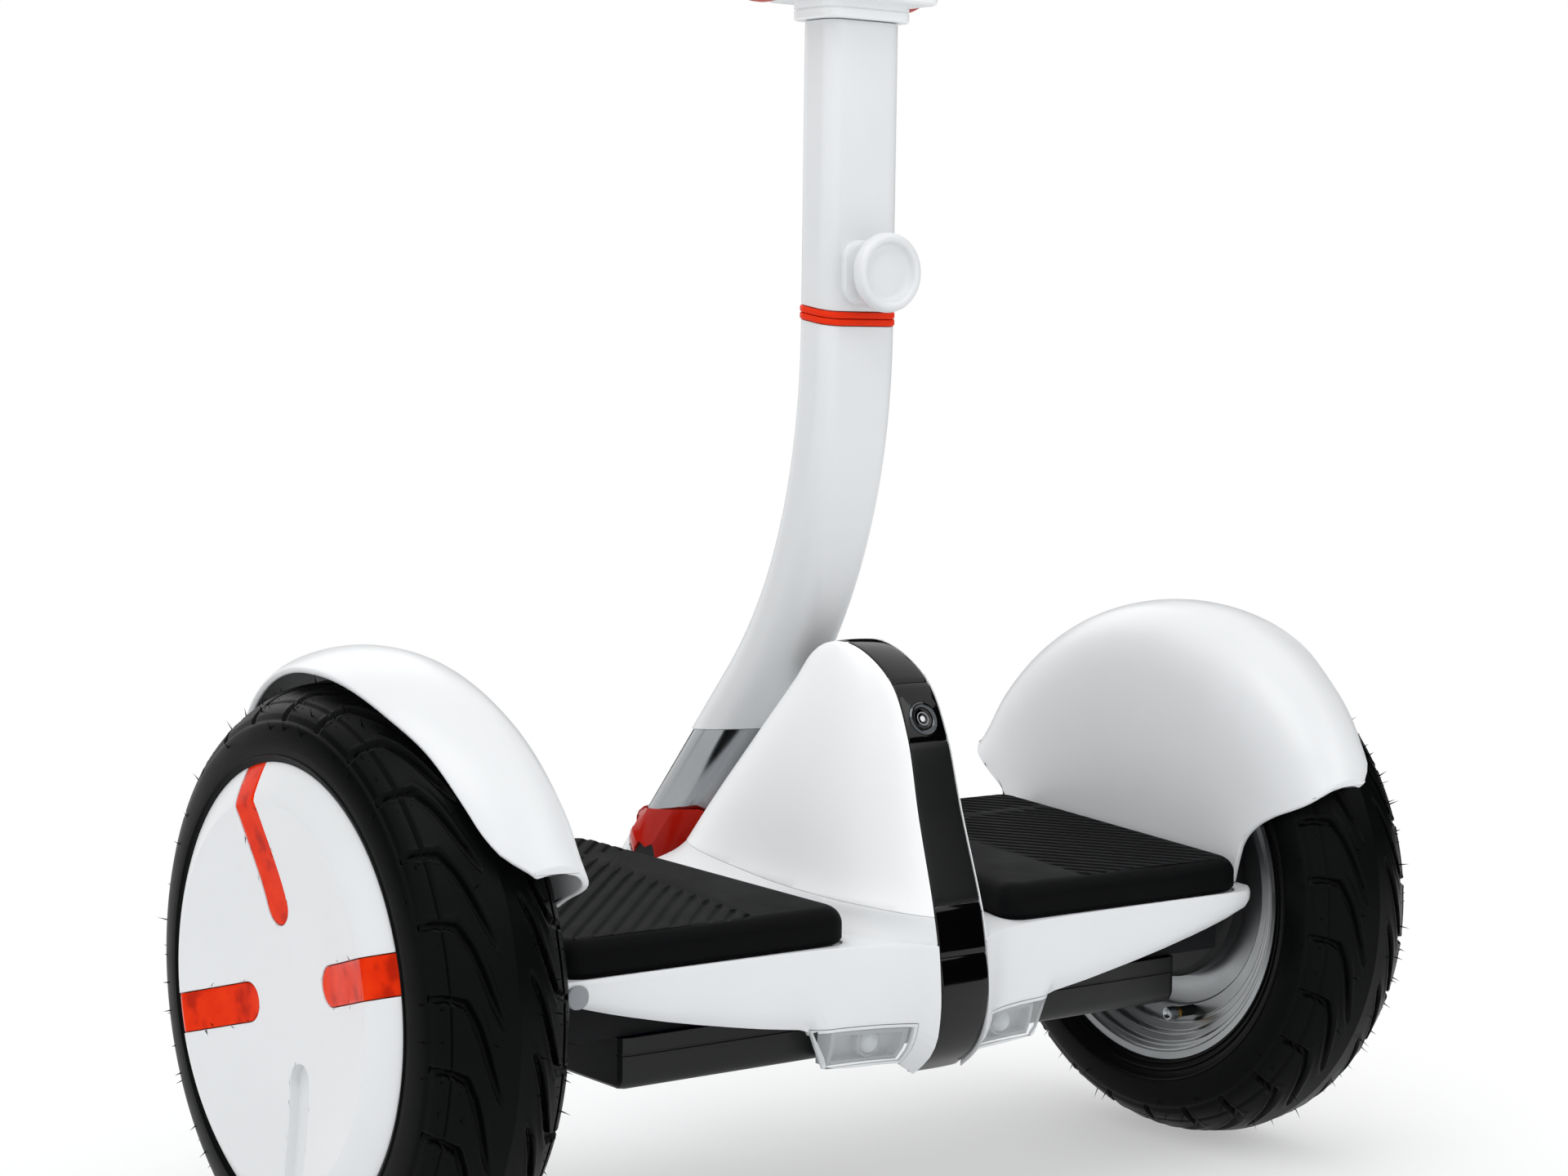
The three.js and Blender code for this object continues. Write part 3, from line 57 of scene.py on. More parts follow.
# Wheels
wheel_radius = 0.1255
track_half = 0.2354
axle_height = wheel_radius
tyre_half_width = 0.0335
crown_drop = 0.0082
sidewall_radius = 0.0944
shoulder_radius = 0.1001
bead_radius = 0.0866
bead_half_width = 0.0292
tyre_inner_radius = 0.0813
groove_pitch_count = 26
groove_depth = 0.003
groove_half_width = 0.0018
groove_lip = 0.0003
fine_groove_place = 0.0246
fine_groove_half_width = 0.0007
fine_groove_depth = 0.0012
step_place = 0.0307
step_half_width = 0.0006
step_depth = 0.0009
groove_tip = 0.0062
hair_radius = 0.0004
hair_lengths = (0.0022, 0.006)
stub_radius = 0.00055
stub_length = 0.0006
stub_spread = 0.0023
hair_ground_clearance = 0.006
rim_half_width = 0.0286
rim_lip_radius = 0.0872
rim_seat_radius = 0.081
rim_well_radius = 0.075
rim_wall = 0.003
rim_web_place = -0.002
rim_web_outer = 0.004
rim_bore = 0.0163
rotor_radius = 0.065
rotor_wall = 0.004
rotor_depth = 0.02
rim_edge = 0.0008
motor_cover_radius = 0.0475
motor_cover_reach = 0.0175
motor_cover_step = 0.0022

# Hubcaps
hubcap_radius = 0.0937
hubcap_edge = 0.0327
hubcap_crease_radius = 0.0785
hubcap_rise = 0.0079
hubcap_dish_radius = 0.028
hubcap_dish_drop = 0.0021
hubcap_centre_drop = 0.0026
hubcap_shoulder_radius = 0.0725
hubcap_shoulder_rise = 0.0063
hubcap_wall = 0.0024
hubcap_thick_wall = 0.0054
window_half_width = 0.008
window_inner_radius = 0.028
window_gap = 0.0004
window_sink = 0.0003
hubcap_groove_depth = 0.0042
window_phase = math.radians(15)

# Valves
valve_circle = 0.0645
valve_angle = math.radians(196)
valve_foot_radius = 0.0046
valve_stem_radius = 0.0026
valve_length = 0.029
valve_cap_length = 0.008
valve_cap_radius = 0.0034

# Fenders
fender_radius = 0.1385
fender_flank = 0.1935
fender_edge = 0.258
fender_thickness = 0.003
fender_least_reach = 0.016
fender_bevel = 0.0009
fender_end_share = 0.58
fender_end_span = 0.18

# Deck
deck_half_length = 0.198
deck_rear = 0.085
deck_front = 0.088
deck_nose = 0.096
nose_half_width = 0.038
nose_clearance = 0.0057
deck_top = 0.136
deck_slope = 0.062
deck_wall = 0.003
deck_keel = 0.0765
deck_tip_height = 0.009
mat_recess = 0.0015
plinth_rise = 0.0115
plinth_spread = 0.013
tail_bulge = 0.021
tail_spread = 0.022
skirt_tuck = 0.003

# Mats
mat_thickness = 0.0155
mat_floor = -0.0002
mat_inner_rear = 0.044
mat_inner_front = 0.068
mat_outer = 0.188
mat_rear = 0.083
mat_front = 0.086
mat_corner = 0.012
mat_round = 0.0072
mat_gap = 0.0004
mat_groove_pitch = 0.0094
mat_groove_half_width = 0.0021
mat_groove_depth = 0.0013
mat_groove_margin = 0.0045
mat_plain_inner = 0.092
mat_plain_band = 0.045
mat_field_inner = 0.066
mat_field_rear = 0.049

# Hump and strip
hump_peak = 0.258
hump_base = 0.148
hump_top_half = 0.012
hump_base_half = 0.034
hump_flare = 0.006
hump_flare_height = 0.007
hump_rear_reach = 0.106
strip_top_half = 0.0096
strip_low_half = 0.013
strip_thickness = 0.003
strip_ledge = 0.0007
strip_edge = 0.0008
strip_crown = 0.0003
seam_gap = 0.0004
cover_gap = 0.0003
plinth_seam = 0.0001
button_height = 0.228
button_radius = 0.0049
button_depth = 0.004
button_dish = 0.0004
bezel_radius = 0.0074
bezel_proud = 0.0008
dot_radius = 0.0013
mark_radius = 0.0026
mark_width = 0.00045

# Battery, tail lenses and charge port
battery_half_length = 0.155
battery_half_depth = 0.074
battery_bottom = 0.085
battery_top = 0.107
battery_edge = 0.006
battery_wall = 0.002
battery_seam_height = 0.1
battery_seam_width = 0.0006
battery_seam_depth = 0.0006
lens_inner = 0.0205
lens_rim_width = 0.0014
lens_outer = 0.0665
lens_top = 0.1015
lens_bottom = 0.0825
lens_wall = 0.002
lens_cut = 0.008
led_radius = 0.005
led_place = 0.037
led_height = 0.0935
led_ring_width = 0.0014
housing_wall = 0.002
port_x = -0.1848
port_height = 0.13
port_half_width = 0.005
port_half_height = 0.0048
port_thickness = 0.0012
port_gap = 0.00045
port_plug_depth = 0.0015
port_plug_half_width = 0.0037
port_plug_half_height = 0.002
socket_half_width = 0.005
socket_half_height = 0.0031

# Steering and bar
pivot_height = 0.1235
knuckle_radius = 0.025
knuckle_front = 0.127
knuckle_reach = 0.1365
shaft_radius = 0.0082
shaft_rear = -0.012
nose_gap = 0.0012
collar_radius = 0.0208
collar_length = 0.018
collar_taper = 0.0012
collar_top = 0.168
collar_cut = 0.0022
spigot_radius = 0.0187
spigot_neck = 0.0169
spigot_wall = 0.0026
spigot_socket = 0.012
joint_slope = 0.1
bar_foot_y = 0.1057
bar_foot_z = 0.1568
bar_steep = math.radians(48.3)
bar_upright_y = -0.017
bar_tube_foot = 0.21
bar_round_half = 0.0195
bar_round_corner = 0.0194
bar_wall = 0.0022
sleeve_half_width = 0.0205
sleeve_half_depth = 0.012
sleeve_corner = 0.008
sleeve_wall = 0.0022
ring_height = 0.0028
ring_proud = 0.0006
ring_gap = 0.0003
joint_rise = 0.0036
sleeve_bottom = 0.4025
sleeve_top = 0.5285
head_height = 0.0665

# Clamp knob, head and pads
knob_height = 0.4195
knob_radius = 0.0173
knob_length = 0.016
flange_half_width = 0.013
flange_half_height = 0.014
flange_thickness = 0.0032
clamp_screw_radius = 0.003
screw_reach = 0.0024
head_half_width = 0.024
head_half_depth = 0.0155
head_corner = 0.008
head_wall = 0.0026
head_groove_rise = 0.004
head_groove_height = 0.0007
head_groove_depth = 0.0006
wing_reach = 0.033
wing_half_depth = 0.024
wing_bottom_rise = 0.008
wing_top_drop = 0.005
pad_half_depth = 0.027
pad_forward = 0.013
pad_half_height = 0.0285
pad_thickness = 0.0225
pad_centre_rise = 0.0355
pad_gap = 0.0003
pad_square = 0.86
pad_seam_depth = 0.0008
pad_seam_half_width = 0.0016

# Shared small sizes
edge_round = 0.0006
fine_round = 0.0003
weld_distance = 1e-7
corner_reach_share = 0.45
round_share = 0.3
overrun = 0.04

# Small helpers for shares, curves and outlines


def mix(a, b, share):
    return a + (b - a) * share


def clamp(value):
    return min(max(value, 0.0), 1.0)


def eased(t):
    return t * t * (3 - 2 * t)


def quarter_round(steps):
    """Pairs that run from (0, 1) to (1, 0) along a hollow quarter circle."""
    turns = [i / steps * math.pi / 2 for i in range(steps + 1)]
    return [(1 - math.cos(a), 1 - math.sin(a)) for a in turns]


def rectangle(x0, x1, y0, y1):
    return [(x0, y0), (x1, y0), (x1, y1), (x0, y1)]


def rod(radius, low, high):
    """The profile of a plain round bar."""
    return [(low, 0), (low, radius), (high, radius), (high, 0)]


def flowing(shares, t):
    """A curve through the shares without overshoot between them."""
    x = np.array([s[0] for s in shares], float)
    y = np.array([s[1] for s in shares], float)
    step = np.diff(x)
    slope = np.diff(y) / step
    at = np.zeros(len(x))
    at[0], at[-1] = slope[0], slope[-1]
    same = slope[:-1] * slope[1:] > 0
    weight = step[:-1] + step[1:]
    mean = 3 * weight / ((2 * step[1:] + step[:-1]) / np.where(same, slope[:-1], 1)
                         + (step[1:] + 2 * step[:-1]) / np.where(same, slope[1:], 1))
    at[1:-1] = np.where(same, mean, 0)
    t = np.clip(np.asarray(t, float), x[0], x[-1])
    i = np.clip(np.searchsorted(x, t) - 1, 0, len(step) - 1)
    u = (t - x[i]) / step[i]
    a, b = y[i], y[i + 1]
    value = (a * (1 + 2 * u) * (1 - u) ** 2 + b * u * u * (3 - 2 * u)
             + step[i] * (at[i] * u * (1 - u) ** 2 + at[i + 1] * u * u * (u - 1)))
    return value if value.ndim else float(value)


def spline(points, each):
    """Points along a centripetal curve through the given ones."""
    points = [Vector(p) for p in points]
    ends = [2 * points[0] - points[1], *points, 2 * points[-1] - points[-2]]
    out = []
    for k in range(1, len(ends) - 2):
        p0, p1, p2, p3 = ends[k - 1:k + 3]
        t1 = (p1 - p0).length ** 0.5
        t2 = t1 + (p2 - p1).length ** 0.5
        t3 = t2 + (p3 - p2).length ** 0.5
        for j in range(each):
            t = mix(t1, t2, j / each)
            a1 = p0.lerp(p1, t / t1)
            a2 = p1.lerp(p2, (t - t1) / (t2 - t1))
            a3 = p2.lerp(p3, (t - t2) / (t3 - t2))
            b1 = a1.lerp(a2, t / t2)
            b2 = a2.lerp(a3, (t - t1) / (t3 - t1))
            out.append(b1.lerp(b2, (t - t1) / (t2 - t1)))
    return out + [points[-1]]


def evenly(points, count):
    """The same line cut into steps of one length."""
    gone = [0.0]
    for a, b in zip(points, points[1:]):
        gone.append(gone[-1] + (b - a).length)
    wanted = np.linspace(0, gone[-1], count)
    return [Vector([float(np.interp(w, gone, [p[i] for p in points])) for i in range(len(points[0]))])
            for w in wanted]


def rounded_ring(half_x, half_y, corner, per_corner=10):
    points = []
    for quarter in range(4):
        cx = (1 if quarter in (0, 3) else -1) * (half_x - corner)
        cy = (1 if quarter < 2 else -1) * (half_y - corner)
        for i in range(per_corner + 1):
            angle = (quarter + i / per_corner) * math.pi / 2
            points.append((cx + corner * math.cos(angle), cy + corner * math.sin(angle)))
    return points


def rounded_profile(points, radius, steps=4):
    """An open outline with its inner corners rounded to a radius."""
    points = [Vector(p) for p in points]
    out = [points[0]]
    for before, at, after in zip(points, points[1:], points[2:]):
        reach = min(radius, min((before - at).length, (after - at).length) * corner_reach_share)
        a = at + (before - at).normalized() * reach
        b = at + (after - at).normalized() * reach
        out += [a.lerp(at, i / steps).lerp(at.lerp(b, i / steps), i / steps) for i in range(steps + 1)]
    return [(p.x, p.y) for p in (*out, points[-1])]


# Meshes and pieces


def make(name, vertices, faces):
    mesh = bpy.data.meshes.new(name)
    mesh.from_pydata([tuple(v) for v in vertices], [], faces)
    work = bmesh.new()
    work.from_mesh(mesh)
    bmesh.ops.remove_doubles(work, verts=work.verts, dist=weld_distance)
    bmesh.ops.recalc_face_normals(work, faces=work.faces)
    work.to_mesh(mesh)
    work.free()
    obj = bpy.data.objects.new(name, mesh)
    bpy.context.scene.collection.objects.link(obj)
    return obj


def loft(name, rings, closed=False):
    n = len(rings[0])
    rows = len(rings)
    vertices = [p for ring in rings for p in ring]
    faces = []
    for k in range(rows if closed else rows - 1):
        here, there = k * n, (k + 1) % rows * n
        faces += [(here + i, here + (i + 1) % n, there + (i + 1) % n, there + i) for i in range(n)]
    if not closed:
        faces += [tuple(range(n))[::-1], tuple(range((rows - 1) * n, rows * n))]
    return make(name, vertices, faces)


def prism(name, outline, low, high, axis="z"):
    order = {"x": lambda a, b, c: (c, a, b), "y": lambda a, b, c: (a, c, b), "z": lambda a, b, c: (a, b, c)}
    return loft(name, [[Vector(order[axis](a, b, c)) for a, b in outline] for c in (low, high)])


def turned(name, profile, segments=96):
    """Turned about Z. The profile's pairs hold the distance along the axis and the radius."""
    rings = [[Vector((r * math.cos(a), r * math.sin(a), along)) for along, r in profile]
             for a in np.linspace(0, 2 * math.pi, segments, endpoint=False)]
    n = len(profile)
    open_ends = profile[0][1] == 0 and profile[-1][1] == 0
    vertices = [p for ring in rings for p in ring]
    faces = []
    for k in range(segments):
        here, there = k * n, (k + 1) % segments * n
        for i in range(n - 1 if open_ends else n):
            j = (i + 1) % n
            faces.append((here + i, here + j, there + j, there + i))
    work = make(name, vertices, [f for f in faces if len(set(f)) > 2])
    tidy(work)
    return work


def tidy(obj):
    work = bmesh.new()
    work.from_mesh(obj.data)
    bmesh.ops.dissolve_degenerate(work, edges=work.edges, dist=weld_distance)
    bmesh.ops.recalc_face_normals(work, faces=work.faces)
    work.to_mesh(obj.data)
    work.free()


def moved(obj, matrix):
    obj.data.transform(matrix)
    if matrix.determinant() < 0:
        obj.data.flip_normals()
    return obj


def wheel_turned(name, side, profile, segments=96):
    turn = Matrix.Rotation(side * math.pi / 2, 4, "Y")
    return moved(turned(name, profile, segments),
                 Matrix.Translation((side * track_half, 0, axle_height)) @ turn)


def wheel_point(x, radius, angle):
    """A place round the axle, its angle counted from the top towards the rear."""
    return Vector((x, -radius * math.sin(angle), axle_height + radius * math.cos(angle)))


def baked(obj):
    """The object with its modifiers worked into the mesh."""
    held = bpy.context.evaluated_depsgraph_get()
    mesh = bpy.data.meshes.new_from_object(obj.evaluated_get(held))
    obj.modifiers.clear()
    obj.data = mesh
    return obj


def combine(obj, tools, operation="DIFFERENCE"):
    for tool in tools:
        step = obj.modifiers.new(operation.lower(), "BOOLEAN")
        step.object = tool
        step.operation = operation
        step.solver = "MANIFOLD"
        tool.hide_render = True
    baked(obj)
    for tool in tools:
        bpy.data.objects.remove(tool)
    return obj


def bevelled(obj, width, segments=2, angle=40):
    step = obj.modifiers.new("bevel", "BEVEL")
    step.width = width
    step.segments = segments
    step.limit_method = "ANGLE"
    step.angle_limit = math.radians(angle)
    step.use_clamp_overlap = False
    return baked(obj)


def put(obj, body, finish, stands_for=(), angle=35):
    obj.data.shade_smooth()
    obj.data.set_sharp_from_angle(angle=math.radians(angle))
    obj.data.materials.clear()
    obj.data.materials.append(finish)
    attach(obj, body)
    if stands_for:
        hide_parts(*([stands_for] if isinstance(stands_for, str) else stands_for))


# Materials: values join through operators, colours and vectors through their own nodes

mirror_grain = 0.000002
faint_grain = 0.00001
fine_grain = 0.00002
satin_grain = 0.00003
rough_grain = 0.00004
rubber_grain = 0.00005
tyre_grain = 0.00006
tool_mark_strength = 0.6
tool_mark_scale = 900.0
metal_cloud_scale = 40.0
cloud_scale = 28.0
gloss_scale = 60.0
window_cloud_scale = 95.0
window_gloss_scale = 120.0


class Value:
    def __init__(self, finish, socket):
        self.finish = finish
        self.socket = socket

    def math(self, operation, *values):
        return self.finish.add("ShaderNodeMath", {"operation": operation}, dict(enumerate(values)))

    def __add__(self, other):
        return self.math("ADD", self, other)

    __radd__ = __add__

    def __mul__(self, other):
        return self.math("MULTIPLY", self, other)


def linear(code):
    """A written colour code as the linear colour that shaders take."""
    parts = [int(code[i:i + 2], 16) / 255 for i in (0, 2, 4)]
    return [p / 12.92 if p <= 0.04045 else ((p + 0.055) / 1.055) ** 2.4 for p in parts] + [1.0]


class Finish:
    def __init__(self, name, **fixed):
        self.material = bpy.data.materials.new(name)
        self.material.use_nodes = True
        self.nodes = self.material.node_tree.nodes
        self.links = self.material.node_tree.links
        self.shader = self.nodes["Principled BSDF"]
        for key, value in fixed.items():
            self.shader.inputs[key.replace("_", " ").title().replace("Ior", "IOR")].default_value = value

    def add(self, kind, settings=None, values=None, output=0):
        node = self.nodes.new(kind)
        for key, value in (settings or {}).items():
            if key == "stops":
                self.set_stops(node.color_ramp, value)
            else:
                setattr(node, key, value)
        for key, value in (values or {}).items():
            self.join(value, node.inputs[key])
        return Value(self, node.outputs[output])

    def set_stops(self, ramp, stops):
        while len(ramp.elements) < len(stops):
            ramp.elements.new(1.0)
        for element, (place, colour) in zip(ramp.elements, stops):
            element.position = place
            element.color = colour

    def join(self, value, socket):
        if isinstance(value, Value):
            self.links.new(value.socket, socket)
        else:
            socket.default_value = value

    def feed(self, name, value):
        self.join(value, self.shader.inputs[name])

    def place(self):
        return self.add("ShaderNodeTexCoord", output="Object")

    def noise(self, scale, detail=2.0, stretch=None):
        where = self.place()
        if stretch:
            where = self.add("ShaderNodeVectorMath", {"operation": "MULTIPLY"}, {0: where, 1: stretch})
        return self.add("ShaderNodeTexNoise", {}, {"Vector": where, "Scale": scale, "Detail": detail})

    def between(self, share, first, second):
        return self.add("ShaderNodeMix", {"data_type": "RGBA"}, {0: share, 6: first, 7: second}, output=2)

    def bump(self, height, distance, strength=1.0):
        return self.add("ShaderNodeBump", {}, {"Height": height, "Distance": distance, "Strength": strength})


def rough_scatter(finish, low, high, scale):
    finish.feed("Roughness", low + finish.noise(scale, 4.0) * (high - low))


def moulded(name, first, second, low, high, grain, grain_depth, **fixed):
    """Moulded plastic or rubber: soft colour clouds, uneven gloss and a fine grain."""
    finish = Finish(name, **fixed)
    clouds = finish.noise(cloud_scale, 3.0)
    finish.feed("Base Color", finish.between(clouds, linear(first), linear(second)))
    rough_scatter(finish, low, high, gloss_scale)
    finish.feed("Normal", finish.bump(finish.noise(grain, 2.0), grain_depth))
    return finish.material


def turned_metal(name, first, second, low, high, across, **fixed):
    """Metal with fine marks that follow the tool, drawn long along one axis."""
    finish = Finish(name, metallic=1.0, **fixed)
    marks = finish.noise(tool_mark_scale, 3.0, across)
    clouds = finish.noise(metal_cloud_scale, 3.0)
    finish.feed("Base Color", finish.between(clouds, linear(first), linear(second)))
    finish.feed("Roughness", low + marks * (high - low))
    finish.feed("Normal", finish.bump(marks, fine_grain, tool_mark_strength))
    return finish.material


def shell(name, first, second):
    """The shell's white plastic under a thin clear coat; its lighter copies are painted light, not a
    different plastic.
    """
    return moulded(name, first, second, 0.3, 0.4, 1500.0, faint_grain, coat_weight=0.12, coat_roughness=0.25)


white_shell = shell("white_shell", "dcdee0", "e1e3e5")
# Lighter copies of the same white plastic: painted light for the hump and the head, which the lamps leave too
# dark
hump_painted_light_shell = shell("hump_painted_light_shell", "f8fafb", "fbfcfd")
head_painted_light_shell = shell("head_painted_light_shell", "edeff0", "f1f3f4")
frame_black = moulded("frame_black", "121315", "18191b", 0.5, 0.66, 900.0, rough_grain,
                      specular_ior_level=0.15)
satin_black = moulded("satin_black", "0c0d0e", "131415", 0.3, 0.44, 1200.0, satin_grain,
                      specular_ior_level=0.3)
gloss_black = moulded("gloss_black", "020203", "050506", 0.04, 0.12, 600.0, mirror_grain,
                      specular_ior_level=0.35)
tyre_rubber = moulded("tyre_rubber", "040505", "090a0b", 0.28, 0.46, 1400.0, tyre_grain,
                      specular_ior_level=0.06)
mat_rubber = moulded("mat_rubber", "070809", "0b0c0d", 0.5, 0.64, 1600.0, rubber_grain,
                     specular_ior_level=0.05)
soft_rubber = moulded("soft_rubber", "0e0f10", "151617", 0.5, 0.65, 1200.0, rough_grain,
                      specular_ior_level=0.25)
orange_ring = moulded("orange_ring", "e02c0a", "e8340e", 0.3, 0.42, 1200.0, faint_grain,
                      specular_ior_level=0.1)
collar_red = moulded("collar_red", "a8160b", "c01f10", 0.1, 0.22, 500.0, faint_grain, specular_ior_level=0.12)
pad_coral = moulded("pad_coral", "b23c35", "bb443c", 0.5, 0.64, 1800.0, rubber_grain, specular_ior_level=0.3,
                    sheen_weight=0.1)
lamp_grey = moulded("lamp_grey", "8b8e91", "9b9ea1", 0.3, 0.5, 900.0, fine_grain)
port_grey = moulded("port_grey", "85898d", "8f9397", 0.42, 0.55, 1200.0, satin_grain)
battery_wrap = moulded("battery_wrap", "24528a", "2f66a3", 0.3, 0.45, 300.0, fine_grain)
white_mark = moulded("white_mark", "d8dbde", "e6e8ea", 0.35, 0.5, 900.0, faint_grain)
dome_white = moulded("dome_white", "aeb2b5", "bec2c4", 0.08, 0.2, 400.0, faint_grain, coat_weight=0.6)
lens_clear = moulded("lens_clear", "dfe4e6", "edf0f2", 0.03, 0.08, 300.0, faint_grain, alpha=0.2)
lens_edge = moulded("lens_edge", "e2e6e8", "f0f2f3", 0.1, 0.2, 300.0, faint_grain, alpha=0.8)
dark_chrome = turned_metal("dark_chrome", "4a4d50", "606366", 0.1, 0.2, (1.0, 1.0, 0.1))
rim_metal = turned_metal("rim_metal", "a3a6a8", "b3b6b8", 0.26, 0.42, (1.0, 0.05, 0.05))
tube_steel = turned_metal("tube_steel", "94979a", "a2a5a7", 0.1, 0.2, (1.0, 0.06, 0.06))
plain_steel = turned_metal("plain_steel", "a4a8ab", "b8bbbe", 0.24, 0.4, (0.05, 1.0, 1.0))
post_metal = turned_metal("post_metal", "b2b5b8", "c3c6c8", 0.24, 0.38, (1.0, 1.0, 0.04))
brass = turned_metal("brass", "b8903c", "caa24c", 0.2, 0.36, (0.1, 1.0, 1.0))
copper_wire = turned_metal("copper_wire", "a8622c", "bd7436", 0.3, 0.46, (1.0, 0.1, 1.0))


def window_material():
    """Orange plastic that you see into: darker clouds of what is behind it."""
    finish = Finish("window_orange", specular_ior_level=0.05)
    clouds = finish.noise(window_cloud_scale, 2.0)
    ramp = finish.add("ShaderNodeValToRGB", {"stops": [
        (0.3, linear("b41e03")), (0.46, linear("dc2c04")), (0.7, linear("e63607"))]}, {"Fac": clouds})
    finish.feed("Base Color", ramp)
    rough_scatter(finish, 0.12, 0.24, window_gloss_scale)
    finish.feed("Normal", finish.bump(finish.noise(300.0), fine_grain))
    return finish.material


def board_material():
    finish = Finish("board_green")
    tracks = finish.add("ShaderNodeTexBrick", {}, {
        "Vector": finish.place(), "Color1": linear("1f5b3a"), "Color2": linear("256b45"),
        "Mortar": linear("c79a4a"), "Scale": 90.0, "Mortar Size": 0.012})
    finish.feed("Base Color", tracks)
    rough_scatter(finish, 0.3, 0.5, 200.0)
    return finish.material


window_orange = window_material()
board_green = board_material()

# The CAD pieces that keep their shape, with their finishes
kept_finishes = {
    "battery_pack": battery_wrap, "control_board": board_green, "rear_shaft_bearing": plain_steel,
    "front_shaft_bearing": plain_steel, "centring_bush": soft_rubber, "inner_post": post_metal,
    "charge_socket": frame_black, "chassis_frame": frame_black,
}
for label in ("left", "right"):
    kept_finishes.update({
        f"{label}_stator": copper_wire, f"{label}_wheel_bearing": plain_steel, f"{label}_axle": plain_steel,
        f"{label}_foot_sensor": frame_black,
    })
for node_name, material in kept_finishes.items():
    nodes[node_name].data.materials.clear()
    nodes[node_name].data.materials.append(material)

# Tyres

crown_shares = [(0, 0), (0.38, 0.26), (0.74, 1), (0.9, 1.6), (0.975, 2.35), (1, 3.1)]
wall_width_shares = (1, 0.998, 0.978, 0.93)
crown_points = 135
wall_points = 41
rows_per_groove = 34
upper_wall_share = 0.45
lower_wall_share = 0.4
bead_seat_share = 1.2
sidewall_ribs = (9, 10, 24, 25, 34)
rib_height_share = 0.8
groove_phases = {-1: math.radians(11.4), 1: math.radians(1.2)}
groove_pitch = 2 * math.pi / groove_pitch_count
groove_steepness = 2.2
groove_taper_share = 0.2
groove_tip_width_share = 0.55
lip_place_share = 1.5
lip_spread_share = 0.45
sweep_step = 0.004
hair_seed = 7
hair_shares = (0.3, 0.62, 0.84, 0.97)
hair_phase_share = 0.3
hair_wander_share = 0.12
hair_splay = 0.35
hair_bend = 0.25
stub_shares = (0.16, 0.3)

# How far a groove has swept round, in degrees, at each share of the way out to the shoulder
sweep_shares = [(0.15, 20.5), (0.21, 19), (0.3, 15.5), (0.39, 11), (0.5, 5.6), (0.62, 1.6), (0.78, 0.5),
                (1, 0)]


def crown_height(u):
    return wheel_radius - crown_drop * flowing(crown_shares, np.abs(u) / tyre_half_width)


def smooth_fall(distance, half_width):
    return eased(np.clip(np.clip(1 - distance / half_width, 0, 1) * groove_steepness, 0, 1))


def tread_depth(u, angle):
    """How deep the tread is cut at each place across and round the tyre."""
    across = np.abs(u)
    share = across / tyre_half_width
    sweep = np.radians(flowing(sweep_shares, share))
    turn = flowing(sweep_shares, share + sweep_step) - flowing(sweep_shares, share - sweep_step)
    lean = np.radians(turn) / (2 * sweep_step * tyre_half_width) * wheel_radius
    cut = np.zeros_like(u)
    raised = np.zeros_like(u)
    for side, phase in groove_phases.items():
        off = np.mod(angle - (phase - side * sweep) + groove_pitch / 2, groove_pitch) - groove_pitch / 2
        distance = np.abs(off) * wheel_radius / np.sqrt(1 + lean ** 2)
        taper = np.sqrt(np.clip((across - groove_tip) / (tyre_half_width * groove_taper_share), 0, 1))
        width = groove_half_width * mix(groove_tip_width_share, 1, taper)
        here = taper * (np.sign(u) == side)
        cut = np.maximum(cut, smooth_fall(distance, width) * here * (across < step_place) * groove_depth)
        lip = np.exp(-((distance - lip_place_share * width) / (lip_spread_share * width)) ** 2) * here
        raised = np.maximum(raised, lip * groove_lip * (across < step_place - groove_half_width))
    fine = smooth_fall(np.abs(across - fine_groove_place), fine_groove_half_width) * fine_groove_depth
    edge = smooth_fall(np.abs(across - step_place), step_half_width) * step_depth
    return np.maximum(cut, np.maximum(fine, edge)) - raised


def build_tyre(side, label):
    levels = (shoulder_radius, mix(shoulder_radius, sidewall_radius, upper_wall_share), sidewall_radius,
              mix(sidewall_radius, bead_radius, lower_wall_share))
    wall = [(share * tyre_half_width, r) for share, r in zip(wall_width_shares, levels)]
    line = evenly(spline([*wall, (bead_half_width, bead_radius)], 6), wall_points)[1:]
    right = [(p.x + step_depth * rib_height_share * (i in sidewall_ribs), p.y) for i, p in enumerate(line)]
    left = [(-a, r) for a, r in reversed(right)]
    seat = bead_half_width - rim_wall * bead_seat_share
    bead, inner = bead_radius, tyre_inner_radius
    inside = [(seat, bead), (seat, inner), (-seat, inner), (-seat, bead)]
    turns = np.linspace(0, 2 * math.pi, groove_pitch_count * rows_per_groove, endpoint=False)
    u, angle = np.meshgrid(np.linspace(-tyre_half_width, tyre_half_width, crown_points), turns)
    radius = crown_height(u) - tread_depth(u, angle)
    rings = [[wheel_point(side * track_half + p, r, a)
              for p, r in (*left, *zip(u[row], radius[row]), *right, *inside)] for row, a in enumerate(turns)]
    tread = loft(f"{label}_tyre_tread", rings, closed=True)
    put(tread, f"{label}_wheel", tyre_rubber, f"{label}_tyre", 60)


